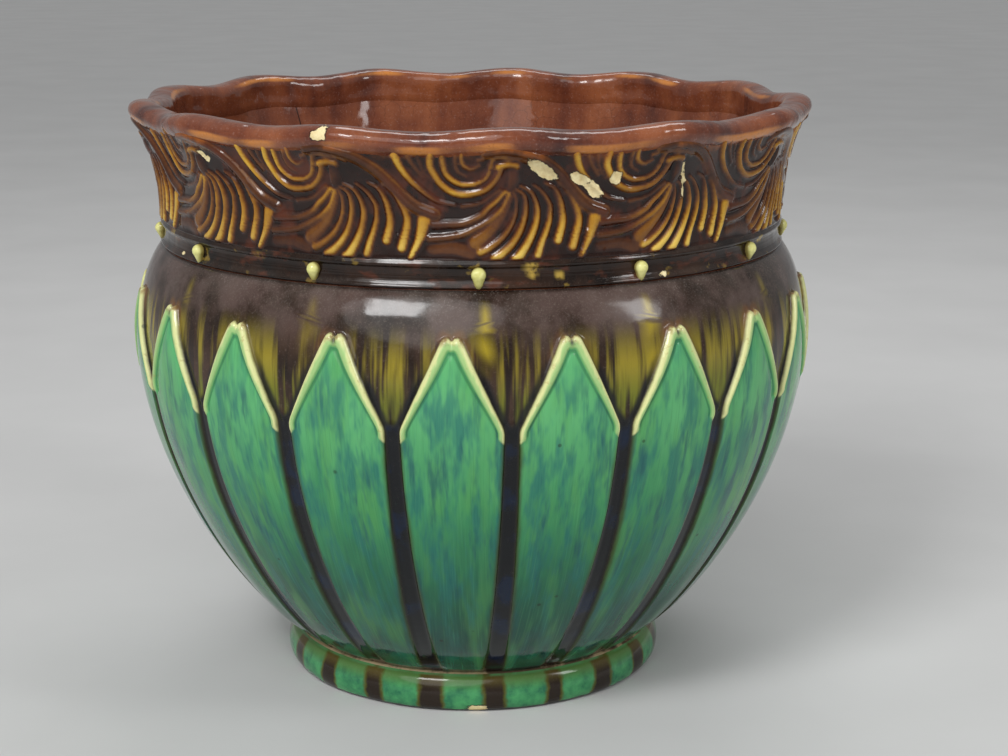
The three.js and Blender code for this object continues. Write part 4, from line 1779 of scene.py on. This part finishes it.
CURLS = (
    Ridge(
        ((-38.1, 46.8), (-36.7, 42.7), (-33.9, 38.5), (-30.6, 35.2), (-26.7, 32.1), (-23.3, 30.4),
         (-18, 29.3)),
        3.6, 1.3, (0.95, 0.5), (1.05, 0.1),
    ),
    Ridge(
        ((-34.2, 47.7), (-32.8, 44.3), (-31.1, 41.6), (-28.9, 38.8)),
        2.8, 0.9, (0.9, 0.6), (0.4, 0.3),
    ),
    Ridge(
        ((-30.4, 48.4), (-30.0, 44.6), (-28.6, 41.0), (-26.0, 37.4)),
        2.6, 0.8, (0.9, 0.6), (0.3, 0.25),
    ),
    Ridge(
        ((-26.1, 46.8), (-26.4, 43.2), (-25, 39.9), (-22.8, 36.6), (-19.4, 34.1), (-16.1, 33.2),
         (-12.2, 33.5), (-8.3, 34.6), (-5.6, 36.8), (-3.9, 39.3), (-2.8, 42.2)),
        3.4, 1.35, (0.95, 0.8), (1.05, 0.6),
    ),
    Ridge(
        ((-22.2, 46.3), (-21.9, 42.7), (-20.8, 39.9), (-18.6, 37.9), (-16.1, 36.8), (-13.3, 36.6),
         (-10, 37.4), (-7.5, 39.3), (-6.4, 42.1), (-5.8, 44.9), (-4.4, 46.3), (0, 46), (3.9, 45.4),
         (6.1, 44.6)),
        2.7, 1.15, (0.95, 0.7), (0.95, 0.6),
    ),
    Ridge(
        ((-17.8, 46.8), (-17.8, 43.2), (-16.7, 41.0), (-14.2, 39.6)),
        2.4, 0.9, (0.9, 0.6), (0.45, 0.35),
    ),
    Ridge(
        ((-15.8, 48.2), (-15.8, 45.4), (-14.9, 43.2), (-12.6, 42.2), (-9.9, 43.4)),
        2.4, 1.0, (0.9, 0.7), (0.95, 0.5),
    ),
    Ridge(
        ((-10.4, 45.2), (-8.6, 46.0), (-7.0, 48.2)),
        2.4, 0.9, (0.8, 0.9), (0.6, 0.5),
    ),
)


@dataclass
class Collar:
    """The flared, lobed collar with its wave-scroll frieze.

    Attributes:
        per_scroll: Columns for each of the thirteen scrolls.
        ground: How far the ground between the cords lies below the collar's plain face.
        hub: Place of the smooth mound that the fan opens from.
        hub_size: Half its width and half its height.
        hub_rise: How proud it stands.
        hole: Place of the small hollow inside the curl.
        scroll_radius: Radius at which the scroll is drawn.
        crack_radius: Radius at which the hairline crack is measured.
        flakes: Where the glaze has flaked off.
    """

    per_scroll: int = 98
    ground: float = 0.35
    hub: Point = (0.2, 38.6)
    hub_size: Point = (3.7, 4.4)
    hub_rise: float = 1.5
    hole: Point = (-11.7, 48.0)
    scroll_radius: float = 126.0
    crack_radius: float = 122.0
    flakes: tuple[Flake, ...] = (
        Flake(10.7, 215.6, 12.0, 4.0, -34.0),
        Flake(16.9, 211.9, 7.6, 3.6, -30.0),
        Flake(19.6, 208.0, 7.4, 4.2, -46.0),
        Flake(23.1, 211.6, 4.3, 4.5, 0.0),
        Flake(35.2, 213.6, 3.6, 1.5, -80.0),
        Flake(35.9, 207.6, 9.6, 1.5, -80.0),
        Flake(72.0, 210.0, 10.4, 2.6, -76.0),
        Flake(-47.9, 215.9, 4.4, 2.0, -52.0),
        Flake(-46.9, 214.9, 3.0, 1.5, 40.0),
        Flake(150.0, 205.0, 5.0, 2.6, 30.0),
    )

    def motif(self, along: Array, above: Array) -> tuple[Array, Array]:
        """The scroll over one repeat: its relief in millimetres, and how bright the glaze on it is.

        Args:
            along: Distance along the wall from the hub, in millimetres.
            above: Height above the neck, in millimetres.

        Returns:
            Both, in the shape of the points given.
        """
        repeat = 2 * math.pi / FORM.lobes * self.scroll_radius
        relief, bright = np.zeros(along.shape), np.zeros(along.shape)
        for ridge in (*FAN, *WAVES, *CURLS):
            for shift in (-repeat, 0.0, repeat):
                height, gold = ridge.lay(along - shift, above)
                bright = np.where(height > relief - 0.08, np.maximum(gold, bright * (height < relief)), bright)
                relief = np.maximum(relief, height)
        u = (along - self.hub[0]) / self.hub_size[0]
        v = (above - self.hub[1]) / self.hub_size[1]
        mound = self.hub_rise * np.clip(1.0 - (u**2 + v**2), 0.0, None) ** 0.6
        hole = bell(along, self.hole[0], 3.0) * bell(above, self.hole[1], 1.9)
        bright = bright * (1.0 - smooth(0.0, 0.5, mound)) * (1.0 - hole)
        return np.maximum(relief, mound) - 0.9 * hole, bright

    def softened(self, relief: Array, sigma: Point) -> Array:
        """The relief blurred over rows and columns, which says where glaze runs off and where it pools.

        Args:
            relief: One row of points for each height.
            sigma: How far the blur reaches, in rows and in columns.

        Returns:
            The blurred relief.
        """
        rows, columns = relief.shape
        padded = np.vstack([relief[::-1], relief, relief[::-1]])
        up = np.fft.fftfreq(3 * rows)[:, None]
        across = np.fft.fftfreq(columns)[None, :]
        blur = np.exp(-2 * (math.pi**2) * ((up * sigma[0]) ** 2 + (across * sigma[1]) ** 2))
        return np.real(np.fft.ifft2(np.fft.fft2(padded) * blur))[rows : 2 * rows]

    def outline(self) -> tuple[Array, Array]:
        """The section, and for each of its points whether it is on the frieze (0) or inside (1).

        Returns:
            The section's radii and heights, and the zone of each point.
        """
        form = FORM
        heights = np.linspace(183.9, 223.7, 65)
        face = np.stack([form.collar_radius(heights), heights], axis=1)
        top_inner = float(form.collar_radius(np.array(form.collar_top))) - form.collar_edge
        drop = np.linspace(0.0, 1.0, 10)
        low = form.neck_height - 0.1
        inner_foot = form.neck_radius - form.wall
        across = lerp(top_inner, inner_foot - 0.05, 1 - (1 - drop) ** 1.6)
        inner = np.stack([across, lerp(form.collar_top, low, drop)], axis=1)
        foot = [(118.4, low), (118.5, 183.6)]
        outline = np.vstack([face, inner, foot, face[:1]])
        zone = np.repeat([0, 1, 0], [len(face), len(inner), len(foot) + 1])
        return outline, zone

    def build(self) -> bpy.types.Object:
        """Turns the collar, raises the frieze and glazes it outside and inside.

        Returns:
            The collar's object.
        """
        form = FORM
        outline, zone = self.outline()
        piece = turn("collar_with_frieze", outline, form.lobes * self.per_scroll, form.lobes)
        azimuth = form.lobe_azimuth + piece.share() * 2 * math.pi
        radius, height = outline[piece.station].T
        radius, height = form.lobed(azimuth, radius, height)
        rise, thin = self.frieze(piece, outline, zone)
        flake = flaked(self.flakes, azimuth, radius, height)
        rise = rise - 0.3 * smooth(-0.1, 0.3, flake) * (rise > -0.3)
        face = zone[piece.station] == 0
        uneven = 0.10 * wander(azimuth, height, 41)
        piece.place(azimuth, radius + np.where(face, rise, 0.0) + uneven * smooth(184.0, 190.0, height), height)
        piece.mark("thin", np.where(face, thin, 0.1 + 0.5 * smooth(216.0, 223.0, height)))
        piece.mark("drip", self.drip(azimuth, height))
        piece.mark("flake", np.where(face, flake, -5.0))
        piece.mark("crack", self.crack(azimuth, height))
        finishes = [
            FriezeGlaze("frieze_glaze", waves=0.35, index=1.41).build(),
            RussetGlaze("collar_inside_glaze", waves=0.6).build(),
        ]
        dress(piece, finishes, zone)
        return piece.finish()

    def frieze(self, piece: Turned, outline: Array, zone: Array) -> tuple[Array, Array]:
        """Works out the frieze over one repeat and lays it on every point of the collar.

        Args:
            piece: The turned collar.
            outline: Its section.
            zone: For each outline point, 0 on the frieze.

        Returns:
            For each point, the relief in millimetres and how thin the glaze lies, from 0 to 1.
        """
        form = FORM
        rows = np.flatnonzero(outline[:, 0] >= 122.3)
        rows = rows[rows < np.flatnonzero(zone == 1)[0]]
        turn_share = (np.arange(self.per_scroll) / self.per_scroll) * 2 * math.pi / form.lobes
        azimuth, height = np.meshgrid(form.lobe_azimuth + turn_share, outline[rows, 1])
        _, lifted = form.lobed(azimuth, height * 0, height)
        along = np.broadcast_to(turn_share * self.scroll_radius, lifted.shape)
        above = lifted - form.neck_height
        relief, bright = self.motif(along, above)
        fade = smooth(9.7, 11.4, above)
        relief, bright = relief * fade, bright * fade
        spread = 2 * math.pi * self.scroll_radius / piece.columns
        lift = (outline[rows[-1], 1] - outline[rows[0], 1]) / (len(rows) - 1)
        bright = self.softened(bright, (0.35 / lift, 0.35 / spread))
        hollow = relief - self.softened(relief, (1.9 / lift, 1.9 / spread))
        thin = np.clip(0.13 + 0.10 * hollow + 0.10 * relief + 0.66 * bright, 0.0, 1.0)
        table_rise = np.zeros((len(outline), self.per_scroll))
        table_thin = np.full((len(outline), self.per_scroll), 0.2)
        table_rise[rows] = relief - self.ground * fade
        table_thin[rows] = thin
        column = piece.column % self.per_scroll
        return table_rise[piece.station, column], table_thin[piece.station, column]

    def drip(self, azimuth: Array, height: Array) -> Array:
        """Where the rim's orange glaze has run down on to the frieze.

        Args:
            azimuth: In radians.
            height: In millimetres.

        Returns:
            Its strength at each point, from 0 to 1.
        """
        hem = 221.6 + FORM.lobe_rise * FORM.lobe_wave(azimuth)
        reach = 1.5 + 3.5 * np.clip(wander(azimuth * 3, height * 0, 61), 0.0, 1.0)
        return smooth(hem - reach, hem + 1.0, height)

    def crack(self, azimuth: Array, height: Array) -> Array:
        """Millimetres beside the hairline crack inside the collar, 5 where there is none.

        Args:
            azimuth: In radians.
            height: In millimetres.

        Returns:
            The distance, below zero on one side.
        """
        line = np.interp(height, [205.0, 209.0, 216.6, 221.0, 225.1], [-140.6, -140.4, -139.7, -139.9, -138.4])
        beside = (np.degrees(azimuth) - line + 180.0) % 360.0 - 180.0
        return np.clip(np.radians(beside) * self.crack_radius, -5.0, 5.0)


# ---------------------------------------------------------------- rim


@dataclass
class RimRoll:
    """The thick rolled rim that follows the lobes.

    Attributes:
        per_lobe: Columns for each lobe.
        section: Its section, across from the middle of the collar's edge and up from it.
        flakes: Where the glaze has flaked off.
    """

    per_lobe: int = 48
    section: tuple[Point, ...] = (
        (3.0, -2.2), (4.4, -1.0), (5.3, 0.1), (5.95, 1.3), (6.15, 2.7), (5.75, 4.2),
        (4.6, 5.4), (2.7, 6.15), (0.3, 6.35), (-2.4, 6.1), (-4.4, 5.1), (-5.6, 3.2),
        (-5.85, 0.8), (-5.85, -2.5), (-5.95, -5.5), (-5.2, -8.2), (-3.6, -5.4), (-2.0, -4.4),
        (0.6, -3.4),
    )
    flakes: tuple[Flake, ...] = (
        Flake(-22.8, 227.0, 5.4, 3.6, 4.0),
        Flake(-22.3, 228.4, 3.4, 3.0, 0.0),
        Flake(96.0, 227.0, 5.0, 2.6, 8.0),
    )

    def build(self) -> bpy.types.Object:
        """Turns the roll, moves it with the lobes and glazes it.

        Returns:
            The rim's object.
        """
        form = FORM
        centre = float(form.collar_radius(np.array(form.collar_top))) - form.collar_edge / 2
        around = through(self.section, 3, closed=True)
        outline = around + [centre, form.collar_top + 0.3]
        piece = turn("rim_roll_glazed", outline, form.lobes * self.per_lobe, form.lobes)
        azimuth = form.lobe_azimuth + piece.share() * 2 * math.pi
        radius, height = outline[piece.station].T
        level = np.minimum(height, form.collar_top)
        edge_radius, edge_height = form.lobed(azimuth, np.full(radius.shape, centre), level)
        uneven = 0.16 * wander(azimuth, height, 51) + 0.10 * wander(azimuth * 4, height * 3, 53)
        radius = radius + edge_radius - centre + uneven * 0.9 - 0.15
        height = height + edge_height - level
        height = height + uneven * 0.5 * smooth(form.collar_top, form.collar_top + 5.0, height) - 0.1
        piece.place(azimuth, radius, height)
        across, up = around[piece.station].T
        piece.mark("thin", self.thin(azimuth, across, up))
        piece.mark("crack", np.full(len(radius), 5.0))
        piece.mark("flake", np.where(across > 0, flaked(self.flakes, azimuth, radius, height), -5.0))
        dress(piece, [RussetGlaze("rim_glaze", craze=0.15, waves=1.5, index=1.46).build()])
        return piece.finish()

    def thin(self, azimuth: Array, across: Array, up: Array) -> Array:
        """Where the glaze has run thin and orange: the outer underside and the inner top edge.

        Args:
            azimuth: In radians.
            across: Place on the section, outwards.
            up: Place on the section, upwards.

        Returns:
            How thin it lies, from 0 to 1.
        """
        below = smooth(3.4, 0.9, up) * smooth(3.0, 5.2, across)
        inner = smooth(-2.6, -4.6, across) * smooth(2.4, 4.6, up)
        patchy = 0.5 + 0.5 * wander(azimuth * 2, across * 0, 71)
        return np.clip((below + 0.9 * inner) * patchy, 0.0, 1.0)


# ---------------------------------------------------------------- studio


@dataclass
class Studio:
    """A plain pale floor, soft light, and the camera of the reference view.

    Attributes:
        camera_place: In metres.
        pitch: How far the camera looks down, in radians.
        yaw: How far it is turned to the right.
        roll: How far it leans.
        lens: Focal length on a sensor 36 mm wide.
        floor_size: Length of the floor's sides, in metres.
    """

    camera_place: tuple[float, float, float] = (0.0, -0.79625, 0.30162)
    pitch: float = 0.2310
    yaw: float = 0.0159
    roll: float = -0.0010
    lens: float = 71.49
    floor_size: float = 24.0

    def build(self) -> None:
        """Sets up everything round the pot."""
        self.camera()
        self.floor()
        self.sky()
        self.lamp("soft_key", (-0.55, -1.00, 1.15), (0.0, 0.0, 0.14), (0.42, 0.42), 10.0)
        self.lamp("soft_right", (1.25, -0.70, 0.95), (0.0, 0.0, 0.14), (0.30, 0.50), 4.5)
        self.lamp("soft_back", (0.15, 0.75, 1.25), (0.0, 0.0, 0.16), (0.9, 0.35), 4.0)
        self.daylight()
        scene = bpy.context.scene
        scene.view_settings.view_transform = "Standard"

    def camera(self) -> None:
        """Adds the camera, level with the reference view."""
        data = bpy.data.cameras.new("view")
        data.lens = self.lens
        data.sensor_width = 36.0
        data.clip_start = 0.01
        data.clip_end = 100.0
        camera = bpy.data.objects.new("view", data)
        camera.location = self.camera_place
        camera.rotation_euler = (math.pi / 2 - self.pitch, self.roll, -self.yaw)
        bpy.context.scene.collection.objects.link(camera)
        bpy.context.scene.camera = camera

    def floor(self) -> None:
        """Adds the floor that the pot stands on."""
        clear_selection()
        bpy.ops.mesh.primitive_plane_add(size=self.floor_size, location=(0.0, 0.0, 0.0))
        floor = bpy.context.object
        floor.name = floor.data.name = "studio_floor"
        material = bpy.data.materials.new("pale_floor")
        material.use_nodes = True
        material.node_tree.nodes.clear()
        g = Graph(material.node_tree)
        tone = g.ramp(g.noise(g.place(), 9.0, 4.0), [(0.3, (0.60, 0.60, 0.595)), (0.7, (0.64, 0.64, 0.635))])
        shader = g.node("ShaderNodeBsdfPrincipled", {"Base Color": tone, "Roughness": 0.7})
        g.node("ShaderNodeOutputMaterial", {"Surface": shader.outputs[0]})
        floor.data.materials.append(material)

    def sky(self) -> None:
        """Gives the room its even light."""
        world = bpy.data.worlds.new("studio")
        world.use_nodes = True
        world.node_tree.nodes.clear()
        g = Graph(world.node_tree)
        back = g.node("ShaderNodeBackground", {"Color": (0.93, 0.94, 0.95), "Strength": 0.30})
        g.node("ShaderNodeOutputWorld", {"Surface": back.outputs[0]})
        bpy.context.scene.world = world

    def daylight(self) -> None:
        """Adds the broad light from the front, as from a bright window."""
        data = bpy.data.lights.new("daylight", "SUN")
        data.energy = 1.0
        data.angle = math.radians(50.0)
        sun = bpy.data.objects.new("daylight", data)
        facing = Vector((0.25, 0.75, -0.62))
        sun.rotation_euler = facing.to_track_quat("-Z", "Y").to_euler()
        bpy.context.scene.collection.objects.link(sun)

    def lamp(self, name: str, place: Sequence[float], aim: Sequence[float], size: Point, power: float) -> None:
        """Adds a soft box.

        Args:
            name: The lamp's name.
            place: Where it hangs, in metres.
            aim: The point that it faces.
            size: Its width and height in metres.
            power: In watts.
        """
        data = bpy.data.lights.new(name, "AREA")
        data.shape = "RECTANGLE"
        data.size, data.size_y = size
        data.energy = power
        lamp = bpy.data.objects.new(name, data)
        lamp.location = place
        facing = Vector(aim) - Vector(place)
        lamp.rotation_euler = facing.to_track_quat("-Z", "Y").to_euler()
        bpy.context.scene.collection.objects.link(lamp)


# ---------------------------------------------------------------- assembly


def build_pellets() -> None:
    """Models the thirteen clay pellets round the neck."""
    finish = BeadGlaze("bead_glaze", dust=0.2).build()
    for number in range(1, FORM.lobes + 1):
        azimuth = FORM.lobe_azimuth + (number - 1) * 2 * math.pi / FORM.lobes + Bowl.bead_lag
        hand_in(Pellet().build(number, azimuth, finish), [f"neck_bead_{number:02d}"])


def main() -> None:
    """Builds the studio, then the pot from its foot up."""
    logging.basicConfig(level=logging.INFO, format="%(message)s")
    Studio().build()
    hand_in(FootRing().build(), ["foot_ring"])
    hand_in(Bowl().build(), ["bowl"])
    hand_in(NeckBand().build(), ["neck_band"])
    build_pellets()
    scrolls = [f"frieze_scroll_{number:02d}" for number in range(1, FORM.lobes + 1)]
    hand_in(Collar().build(), ["collar", *scrolls])
    hand_in(RimRoll().build(), ["rim_roll"])


if __name__ == "__main__":
    main()
